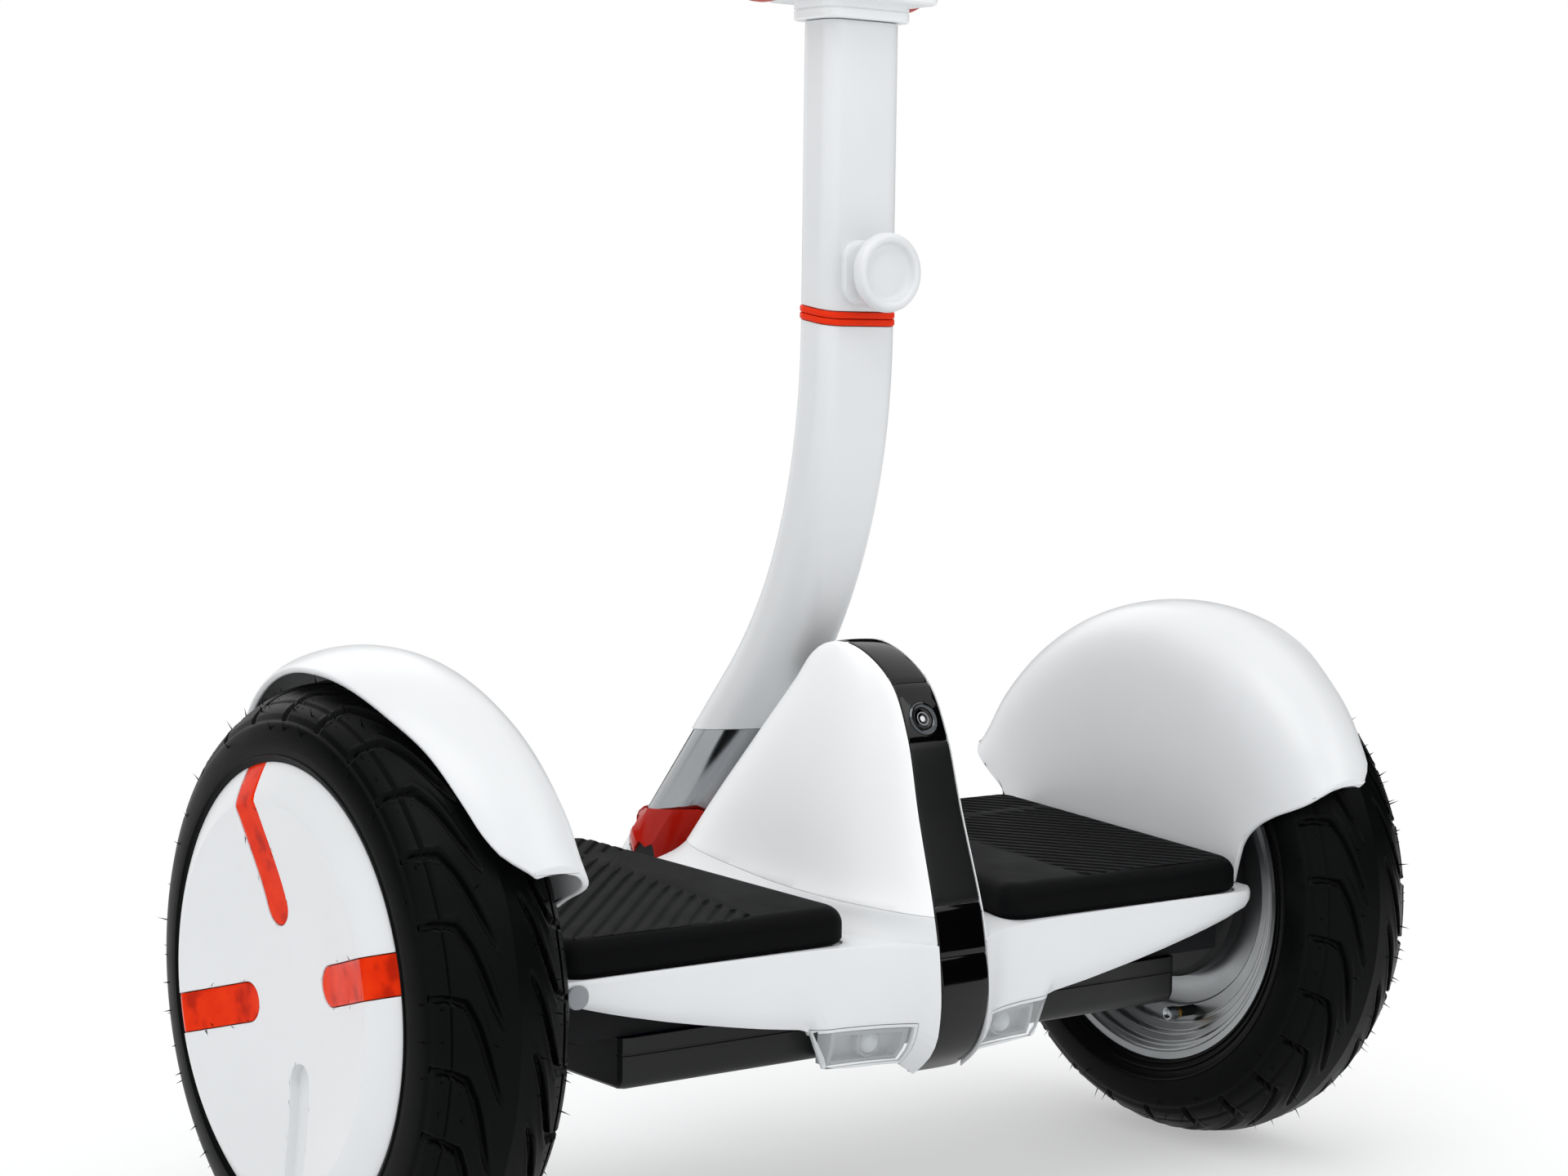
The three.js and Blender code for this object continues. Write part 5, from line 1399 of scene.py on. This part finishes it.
def build_deck():
    deck = deck_loft("deck_shell")
    combine(deck, [loft("plinth", [plinth_ring(plinth_rise * r) for r in plinth_rise_shares])], "UNION")
    inner = deck_loft("inner", deck_wall, mat_recess + deck_wall, overrun, deck_wall)
    duct = hump_base_half / 2
    duct_plan = rectangle(-duct, duct, -deck_rear * duct_reach_share, deck_front / 2)
    cutters = [nose_cut(), inner, prism("duct", duct_plan, deck_top - overrun, hump_peak)]
    for side in (-1, 1):
        cutters.append(loft("recess", [mat_ring(side, mat_gap, h) for h in (-mat_recess, overrun)]))
        cutters.append(lens_prism("lens_opening", side, cover_gap))
    cutters.append(strip_cutter())
    socket = port_outline(socket_half_width + cover_gap, socket_half_height + cover_gap)
    cutters.append(prism("port", socket, -deck_rear - overrun, deck_wall - deck_rear, axis="y"))
    shaft = turned("shaft_way", rod(shaft_radius + nose_gap, 0, -deck_nose - overrun), 40)
    place = Matrix.Translation((0, 0, pivot_height)) @ Matrix.Rotation(math.pi / 2, 4, "X")
    cutters.append(moved(shaft, place))
    combine(deck, cutters)
    put(bevelled(deck, fine_round, 2, 50), "chassis", white_shell, "deck_cover", 35)


def build_lens(side, label):
    lens = deck_loft(f"{label}_lens_shell")
    combine(lens, [deck_loft("back", lens_wall, keel_drop=overrun)])
    combine(lens, [lens_prism("frame", side, 0)], "INTERSECT")
    rim = lens.copy()
    rim.data = lens.data.copy()
    rim.name = f"{label}_lens_rim"
    bpy.context.scene.collection.objects.link(rim)
    combine(lens, [lens_prism("pane", side, -lens_rim_width)], "INTERSECT")
    combine(rim, [lens_prism("opening", side, -lens_rim_width)])
    put(lens, "chassis", lens_clear, f"{label}_tail_lens", 35)
    put(bevelled(rim, fine_round, 2, 50), "chassis", lens_edge, (), 35)


def build_lamp(side, label):
    wall, rear = housing_wall, -deck_rear - tail_bulge
    x0, x1 = lens_inner + wall, lens_outer - lens_cut - wall
    z0, z1 = lens_bottom + wall, lens_top - wall
    plan = rectangle(side * x0, side * x1, z0, z1)
    housing = prism(f"{label}_lamp_housing", plan, rear, -battery_half_depth - edge_round, "y")
    combine(housing, [deck_loft("front", lens_wall + cover_gap, keel_drop=overrun)], "INTERSECT")
    hollow = rectangle(side * (x0 + wall), side * (x1 - wall), z0 + wall, z1 - wall)
    pocket = prism("pocket", hollow, rear, 0, "y")
    combine(pocket, [deck_loft("pocket_back", lens_wall + wall * 3, keel_drop=overrun)])
    combine(housing, [pocket])
    put(bevelled(housing, fine_round, 2, 50), "chassis", lamp_grey, f"{label}_tail_lamp", 35)


def build_led(side, label):
    behind = rear_edge(led_place, led_level_share) + lens_wall + housing_wall * 2
    place = Matrix.Translation((side * led_place, behind, led_height)) @ Matrix.Rotation(math.pi / 2, 4, "X")
    back, rise = -led_radius / 2, led_radius * led_rise_share
    dome = [(rise * math.sin(a), led_radius * math.cos(a)) for a in np.linspace(0, math.pi / 2, 14)]
    dome = [(back, 0), (back, led_radius), *dome[:-1], (rise, 0)]
    put(moved(turned(f"{label}_led_dome", dome, 48), place), "chassis", dome_white, (), 40)
    width = led_ring_width
    ring = [(back, led_radius), (back, led_radius + width), (width / 2, led_radius + width),
            (width, led_radius + width / 2), (width / 2, led_radius)]
    put(moved(turned(f"{label}_led_ring", ring, 48), place), "chassis", lamp_grey, (), 40)


def build_port():
    face = -deck_rear - skirt_tuck * side_rear_shares[1][1] - port_gap
    rings = []
    for inward, depth in port_edge_shares:
        outline = port_outline(port_half_width * (1 - inward), port_half_height * (1 - inward))
        rings.append([Vector((x, face - port_thickness * depth, z)) for x, z in outline])
    plate = loft("charge_cover_plate", rings)
    plug = prism("plug", port_outline(port_plug_half_width, port_plug_half_height), face - port_thickness / 2,
                 face + port_plug_depth, axis="y")
    combine(plate, [plug], "UNION")
    put(plate, "port_cover", port_grey, "charge_port_cover", 30)


def build_battery():
    half, edge, wall = battery_half_depth, battery_edge, battery_wall
    seam, width, depth = battery_seam_height, battery_seam_width, battery_seam_depth
    section = [(-half, battery_top), (-half, seam + width), (-half + depth, seam + width / 2),
               (-half + depth, seam - width / 2), (-half, seam - width)]
    section += [(-half + edge * a, battery_bottom + edge * b) for a, b in quarter_round(8)]
    section += [(-y, z) for y, z in reversed(section)]
    rings = []
    for share, tuck in battery_end_shares:
        x = mix(-battery_half_length, battery_half_length, share)
        least = battery_bottom + tuck * edge * battery_end_rise_share
        rings.append([Vector((x, y * (1 - tuck * edge / half), max(z, least))) for y, z in section])
    box = loft("battery_box", rings)
    hollow = rectangle(-half + wall, half - wall, -battery_half_length + wall, battery_half_length - wall)
    floor = battery_bottom + wall + edge / 3
    combine(box, [prism("inside", [(x, y) for y, x in hollow], floor, battery_top + overrun)])
    put(box, "chassis", satin_black, "battery_case", 30)


# Steering, bar, sleeve, knob, head and pads

bar_direction = Vector((0, -math.cos(bar_steep), math.sin(bar_steep)))
collar_half_rise = collar_length * math.sin(bar_steep) / 2
collar_middle = bar_foot_z - collar_half_rise
collar_shares = ((-0.4, 0.7), (0, 1))
collar_cut_shares = ((-0.4, -0.75), (0.34, -0.85), (0.5, 0.1), (0.12, 0.7), (-0.05, 0.2), (-0.38, 0.15))
collar_cut_depth_share = 0.8
collar_cut_width_share = 1.5
collar_cut_phase = 0.25
pocket_shade_share = 0.94
bar_steps = 64
bar_turn_start = 0.08
bar_turn_span = 0.8
head_groove_slope_share = 0.2
head_edge = edge_round * 3


def foot_place():
    """The collar's own frame: its middle at the origin, its axis along the bar's foot."""
    turn = Vector((0, 0, 1)).rotation_difference(bar_direction).to_matrix().to_4x4()
    return Matrix.Translation(bar_point(collar_middle)) @ turn


def along_foot(name, profile, segments=72):
    return moved(turned(name, profile, segments), foot_place())


def above_joint(height):
    reach = deck_half_length
    middle = bar_point(height).y
    rise = joint_slope * reach
    outline = [(middle - reach, height + rise), (middle + reach, height - rise),
               (middle + reach, height + reach), (middle - reach, height + reach)]
    return prism("above_joint", outline, -reach, reach, axis="x")


def about_shaft(name, profile):
    turn = Matrix.Rotation(-math.pi / 2, 4, "X")
    return moved(turned(name, profile, 72), Matrix.Translation((0, 0, pivot_height)) @ turn)


def build_knuckle():
    front, half, edge = deck_nose + nose_gap, collar_length / 2, edge_round
    knuckle = about_shaft("knuckle_block", [
        (front, 0), (front, knuckle_radius - edge), (front + edge, knuckle_radius),
        (knuckle_front - edge, knuckle_radius), (knuckle_front, knuckle_radius - edge), (knuckle_front, 0)])
    combine(knuckle, [along_foot("seat", rod(collar_radius + nose_clearance, -half - cover_gap, overrun))])
    boss = along_foot("boss", rod(collar_radius - collar_taper, -half - overrun / 2, -half - cover_gap))
    combine(knuckle, [boss], "UNION")
    keep_plan = rectangle(-overrun, overrun, front, knuckle_reach)
    combine(knuckle, [prism("keep", keep_plan, battery_bottom, hump_peak)], "INTERSECT")
    combine(knuckle, [about_shaft("shaft", rod(shaft_radius, shaft_rear, front + cover_gap))], "UNION")
    combine(knuckle, [along_foot("socket", rod(spigot_radius + cover_gap, -half - spigot_socket, overrun))])
    put(bevelled(knuckle, edge, 2, 50), "steering", white_shell, "steering_knuckle", 35)


def build_collar():
    half = collar_length / 2
    middle = [(half * a, collar_radius + collar_taper * r) for a, r in collar_shares]
    collar = along_foot("red_collar", [
        (-half, 0), (-half, collar_radius - collar_taper), *middle, (half / 2, collar_radius),
        (overrun, collar_radius), (overrun, 0)], 18)
    bore = along_foot("bore", rod(spigot_radius + cover_gap, -overrun, overrun * 3 / 2))
    cuts, pocket_shade_plates = [bore, above_joint(collar_top)], []
    low, high = collar_radius - collar_cut * collar_cut_depth_share, collar_radius + overrun / 4
    outward = Matrix(((0, 0, 1, 0), (1, 0, 0, 0), (0, 1, 0, 0), (0, 0, 0, 1)))
    shape = [(a * half * collar_cut_width_share, b * half) for a, b in collar_cut_shares]
    # Thin dark plates at the floor of the six cut-outs: painted shade in the pockets
    fill = [(a * pocket_shade_share, b * pocket_shade_share) for a, b in shape]
    for k in range(6):
        place = foot_place() @ (Matrix.Rotation((k + collar_cut_phase) * math.pi / 3, 4, "Z") @ outward)
        cuts.append(moved(prism("cutter", shape, low, high), place))
        pocket_shade_plates.append(moved(prism("pocket_shade_plate", fill, low - fine_round, low + fine_round), place))
    combine(collar, cuts)
    # The pockets' painted shade, joined as one dark rubber object
    dark = joined(pocket_shade_plates)
    dark.name = "collar_pocket_shade"
    put(dark, "steering", soft_rubber, (), 30)
    put(bevelled(collar, fine_round, 2, 30), "steering", collar_red, "bar_base_collar", 20)


def build_spigot():
    bottom = -collar_length / 2 - spigot_socket + cover_gap
    start = (bar_tube_foot - collar_middle) / math.sin(bar_steep)
    tube = along_foot("polished_foot", rod(spigot_radius, bottom, start + overrun), 96)
    combine(tube, [above_joint(bar_tube_foot - cover_gap)])
    neck = along_foot("neck", rod(spigot_neck, bottom + edge_round, start + spigot_radius), 96)
    combine(tube, [neck], "UNION")
    combine(tube, [along_foot("bore", rod(spigot_neck - spigot_wall, bottom - overrun, start + overrun * 2))])
    put(tube, "steering", tube_steel, "bar_spigot", 30)


def slanted(obj, low, high):
    """The joint under the sleeve rises towards the front."""
    rear = bar_upright_y - sleeve_half_depth
    for vertex in obj.data.vertices:
        if low < vertex.co.z < high:
            vertex.co.z += joint_rise * (vertex.co.y - rear) / sleeve_half_depth / 2
    return obj


def ring_bottom():
    """The lower orange ring's foot: two rings and two gaps under the sleeve."""
    return sleeve_bottom - ring_gap - ring_height * 2 - ring_gap


def bar_rings(inset, foot_overrun, top_overrun):
    bend_foot = bar_point(bar_tube_foot + spigot_radius)
    corner = bar_point(bar_foot_z + (bar_foot_y - bar_upright_y) * math.tan(bar_steep))
    top = Vector((0, bar_upright_y, ring_bottom() - ring_gap))
    straight = [bar_point(bar_tube_foot).lerp(bend_foot, i / 12) for i in range(12)]
    bend = [bend_foot.lerp(corner, t).lerp(corner.lerp(top, t), t) for t in np.linspace(0, 1, 80)]
    line, steps = evenly([*straight, *bend], bar_steps + 1), bar_steps
    across = Vector((1, 0, 0))
    rings = []
    for i, at in enumerate(line):
        along = (line[min(i + 1, steps)] - line[max(i - 1, 0)]).normalized()
        at = at - along * (foot_overrun if i == 0 else 0) + along * (top_overrun if i == steps else 0)
        deep = along.cross(across)
        turn = eased(clamp((i / steps - bar_turn_start) / bar_turn_span))
        half_x = mix(bar_round_half, sleeve_half_width, turn) - inset
        half_y = mix(bar_round_half, sleeve_half_depth, turn) - inset
        outline = rounded_ring(half_x, half_y, mix(bar_round_corner, sleeve_corner, turn) - inset, 12)
        rings.append([at + across * x + deep * d for x, d in outline])
    return rings


def upright(name, half_x, half_y, corner, levels):
    """A rounded upright column through levels of (height, inset)."""
    return loft(name, [[Vector((x, bar_upright_y + y, height)) for x, y in rounded_ring(
        half_x - inset, half_y - inset, corner - inset)] for height, inset in levels])


def round_levels(low, high, edge):
    """Levels of (height, inset) with both ends eased over an edge."""
    near = edge * round_share
    return [(low, edge), (low + near, near), (low + edge, 0), (high - edge, 0), (high - near, near),
            (high, edge)]


def hollow_upright(name, half_x, half_y, corner, wall, low, high):
    body = upright(name, half_x, half_y, corner, round_levels(low, high, edge_round))
    through = [(low - overrun, 0), (high + overrun, 0)]
    return combine(body, [upright("hollow", half_x - wall, half_y - wall, corner - wall, through)])


def build_bar():
    tube = loft("bent_tube", bar_rings(0, overrun, 0))
    combine(tube, [loft("tube_bore", bar_rings(bar_wall, overrun * 2, cover_gap))])
    combine(tube, [above_joint(bar_tube_foot)], "INTERSECT")
    slanted(tube, ring_bottom() - ring_height / 2, sleeve_bottom)
    put(tube, "steering", white_shell, "bar_tube", 35)
    sizes = [size + ring_proud for size in (sleeve_half_width, sleeve_half_depth, sleeve_corner, sleeve_wall)]
    for name, low in (("lower_ring", ring_bottom()), ("upper_ring", ring_bottom() + ring_height + ring_gap)):
        ring = hollow_upright(f"orange_{name}", *sizes, low, low + ring_height)
        slanted(ring, low - ring_height, low + ring_height * 2)
        put(ring, "steering", orange_ring, name, 30)


flange_edge_shares = ((0.0, -0.4), (0.0, 0.55), (0.05, 0.85), (0.16, 1.0))
flange_corner_share = 0.6
knob_foot_share = 0.42
knob_shares = [(0, 0.5), (0.22, 0.54), (0.42, 0.74), (0.56, 0.93), (0.68, 0.995), (0.8, 1), (0.92, 0.965),
               (0.98, 0.88), (0.96, 0.78), (0.82, 0.7), (0.77, 0.58), (0.8, 0.3), (0.81, 0)]
wing_round_share = 0.2
pad_shares = [(0, 0.88), (0.05, 0.94), (0.2, 1), (0.42, 0.9), (0.66, 0.69), (0.87, 0.4), (1, 0.12)]
pad_widest_share = 0.2


def about_knob(name, profile, segments=80):
    place = Matrix.Translation((0, bar_upright_y - sleeve_half_depth, knob_height))
    return moved(turned(name, profile, segments), place @ Matrix.Rotation(math.pi / 2, 4, "X"))


def build_sleeve():
    sleeve = hollow_upright("upper_sleeve", sleeve_half_width, sleeve_half_depth, sleeve_corner, sleeve_wall,
                            sleeve_bottom, sleeve_top)
    slanted(sleeve, sleeve_bottom - ring_height, sleeve_bottom + ring_height)
    face, corner = bar_upright_y - sleeve_half_depth, flange_half_width * flange_corner_share
    rings = []
    for inset, depth in flange_edge_shares:
        shape = rounded_ring(flange_half_width * (1 - inset), flange_half_height * (1 - inset), corner)
        rings.append([Vector((x, face - flange_thickness * depth, knob_height + z)) for x, z in shape])
    combine(sleeve, [loft("flange", rings)], "UNION")
    hole = about_knob("screw_hole", rod(clamp_screw_radius + cover_gap, -sleeve_half_depth, overrun), 40)
    combine(sleeve, [hole])
    put(sleeve, "head", white_shell, "sleeve", 35)


def build_knob():
    start = flange_thickness + cover_gap
    curve = evenly(spline(knob_shares, 6), 60)
    profile = [(-screw_reach, 0), (-screw_reach, clamp_screw_radius), (start, clamp_screw_radius),
               (start, knob_foot_share * knob_radius)]
    profile += [(start + p.x * knob_length, p.y * knob_radius) for p in curve[:-1]]
    profile.append((start + knob_shares[-1][0] * knob_length, 0))
    put(about_knob("round_knob", profile, 96), "knob", white_shell, "clamp_knob", 40)


def build_head():
    low, top = sleeve_top + cover_gap, sleeve_top + head_height
    groove, slope = low + head_groove_rise, head_groove_height * head_groove_slope_share
    levels = [(low, edge_round), (low + edge_round, 0), (groove, 0), (groove + slope, head_groove_depth),
              (groove + head_groove_height, head_groove_depth), (groove + head_groove_height + slope, 0)]
    block = upright("head_body", head_half_width, head_half_depth, head_corner,
                    levels + round_levels(low, top, head_edge)[3:])
    wing = []
    for height, inset in round_levels(low + wing_bottom_rise, top - wing_top_drop, head_edge):
        outline = rounded_ring(wing_reach - inset * wing_round_share, wing_half_depth - inset,
                               head_corner - inset * wing_round_share)
        wing.append([Vector((x, bar_upright_y + y, height)) for x, y in outline])
    combine(block, [loft("wings", wing)], "UNION")
    inner = [size - sleeve_wall for size in (sleeve_half_width, sleeve_half_depth, sleeve_corner)]
    combine(block, [upright("hollow", *inner, [(low - overrun, 0), (top - head_wall, 0)])])
    # The head takes a lighter copy of the white shell: painted light
    put(block, "head", head_painted_light_shell, "head_block", 30)


def build_pad(side, label):
    middle = sleeve_top + pad_centre_rise
    rings = []
    for p in evenly(spline(pad_shares, 8), 34):
        x = wing_reach + pad_gap + p.x * pad_thickness
        off = abs(p.x - pad_widest_share) * pad_thickness / pad_seam_half_width
        seam = pad_seam_depth * clamp(1 - off)
        half_y, half_z = pad_half_depth * p.y - seam, pad_half_height * p.y - seam
        ring = []
        for turn in np.linspace(0, 2 * math.pi, 64, endpoint=False):
            c, s = [math.copysign(abs(v) ** pad_square, v) for v in (math.cos(turn), math.sin(turn))]
            ring.append(Vector((side * x, bar_upright_y + half_y * c + pad_forward, middle + half_z * s)))
        rings.append(ring)
    pad = loft(f"{label}_knee_cushion", rings)
    if side < 0:
        pad.data.flip_normals()
    put(pad, "head", pad_coral, f"{label}_knee_pad", 50)


# Camera, floor and lights


def place_camera():
    level = math.cos(camera_pitch)
    forward = Vector((math.sin(camera_yaw) * level, math.cos(camera_yaw) * level, -math.sin(camera_pitch)))
    right = Vector((math.cos(camera_yaw), -math.sin(camera_yaw), 0))
    up = right.cross(forward)
    across = right * math.cos(camera_roll) + up * math.sin(camera_roll)
    upward = up * math.cos(camera_roll) - right * math.sin(camera_roll)
    data = bpy.data.cameras.new("camera")
    data.lens = camera_lens
    camera = bpy.data.objects.new("camera", data)
    turn = Matrix((across, upward, -forward)).transposed().to_4x4()
    camera.matrix_world = Matrix.Translation(camera_place) @ turn
    bpy.context.scene.collection.objects.link(camera)
    bpy.context.scene.camera = camera


def seen_directly(finish):
    """One for rays that show the background itself, directly or in metal and glass."""
    path = finish.nodes.new("ShaderNodeLightPath")
    rays = [Value(finish, path.outputs[name]) for name in (
        "Is Camera Ray", "Is Glossy Ray", "Is Transmission Ray")]
    return finish.add("ShaderNodeClamp", {}, {"Value": rays[0] + rays[1] + rays[2]})


def plate(name, half_x, half_y):
    return make(name, [(x, y, 0) for x, y in rectangle(-half_x, half_x, -half_y, half_y)], [(0, 1, 2, 3)])


def aimed(obj, place, target):
    obj.location = place
    obj.rotation_euler = (Vector(target) - Vector(place)).to_track_quat("-Z", "Y").to_euler()


def build_floor():
    floor = plate("floor", floor_half, floor_half)
    finish = Finish("floor_paint", roughness=0.7, specular_ior_level=0.1)
    finish.feed("Base Color", finish.between(finish.noise(3.0), linear("f3f4f5"), linear("f6f7f8")))
    away = finish.add("ShaderNodeVectorMath", {"operation": "LENGTH"}, {0: finish.place()}, output="Value")
    fade = finish.add("ShaderNodeMapRange", {"interpolation_type": "SMOOTHSTEP"}, {
        "Value": away, "From Min": floor_fade_start, "From Max": floor_fade_end})
    glow = finish.add("ShaderNodeEmission", {}, {"Color": (1, 1, 1, 1), "Strength": 1.0})
    share = (floor_glow_share + fade * (1 - floor_glow_share)) * seen_directly(finish)
    blend = finish.add("ShaderNodeMixShader", {}, {0: share})
    node = blend.socket.node
    finish.links.new(finish.shader.outputs[0], node.inputs[1])
    finish.links.new(glow.socket, node.inputs[2])
    finish.links.new(blend.socket, finish.nodes["Material Output"].inputs[0])
    floor.data.materials.append(finish.material)


def build_world(ambient):
    world = bpy.data.worlds.new("world")
    bpy.context.scene.world = world
    world.use_nodes = True
    nodes_here, links = world.node_tree.nodes, world.node_tree.links
    path = nodes_here.new("ShaderNodeLightPath")
    total = path.outputs["Is Camera Ray"]
    for name in ("Is Glossy Ray", "Is Transmission Ray"):
        add = nodes_here.new("ShaderNodeMath")
        add.operation = "MAXIMUM"
        links.new(total, add.inputs[0])
        links.new(path.outputs[name], add.inputs[1])
        total = add.outputs[0]
    scale = nodes_here.new("ShaderNodeMapRange")
    links.new(total, scale.inputs["Value"])
    scale.inputs["To Min"].default_value = ambient
    scale.inputs["To Max"].default_value = 1.0
    background = nodes_here["Background"]
    background.inputs["Color"].default_value = (1, 1, 1, 1)
    links.new(scale.outputs[0], background.inputs["Strength"])


def add_light(name, place, target, size, power):
    data = bpy.data.lights.new(name, "AREA")
    data.shape = "RECTANGLE"
    data.size, data.size_y = size
    data.energy = power
    light = bpy.data.objects.new(name, data)
    aimed(light, place, target)
    bpy.context.scene.collection.objects.link(light)


def add_flag(name, place, target, size, shade):
    """A dark panel that only shows in reflections."""
    flag = plate(name, size[0] / 2, size[1] / 2)
    aimed(flag, place, target)
    finish = Finish(name, roughness=1.0, specular_ior_level=0.0)
    finish.feed("Base Color", finish.between(finish.noise(2.0), linear(shade), linear(shade)))
    flag.data.materials.append(finish.material)
    for rays in ("camera", "diffuse", "shadow", "transmission"):
        setattr(flag, f"visible_{rays}", False)


place_camera()
build_floor()
build_world(world_light)
middle_height = 0.2
lamps = {
    "key": ((-1.0, -0.6, 2.4), (1.6, 1.6), 15.5),
    "fill": ((1.2, -2.2, 1.9), (1.4, 1.4), 8.5),
    "back": ((0.4, 2.2, 1.7), (2.2, 1.4), 9.0),
}
for lamp_name, (lamp_place, lamp_size, lamp_power) in lamps.items():
    add_light(lamp_name, lamp_place, (0, 0, middle_height), lamp_size, lamp_power)
flags = {
    "flag_right": ((2.6, 0.1, 0.9), (2.6, 2.4)),
    "flag_rear_right": ((2.0, -2.3, 0.9), (3.2, 2.2)),
    "flag_front_left": ((-2.4, 2.0, 0.9), (2.8, 2.2)),
    "flag_front": ((1.9, 2.7, 0.7), (2.6, 1.6)),
}
for flag_name, (flag_place, flag_size) in flags.items():
    add_flag(flag_name, flag_place, (0, 0, middle_height), flag_size, "101112")

build_hump()
build_strip()
build_bezel()
build_button()
build_deck()
build_port()
build_battery()
build_knuckle()
build_collar()
build_spigot()
build_bar()
build_sleeve()
build_knob()
build_head()
paired = (build_tyre, build_vent_hairs, build_rim, build_motor_cover, build_valve, build_hubcap, build_fender,
          build_mat, build_lens, build_lamp, build_led, build_pad)
for wheel_side, wheel_label in ((-1, "left"), (1, "right")):
    for build in paired:
        build(wheel_side, wheel_label)

scene_view = bpy.context.scene.view_settings
scene_view.view_transform = "Standard"
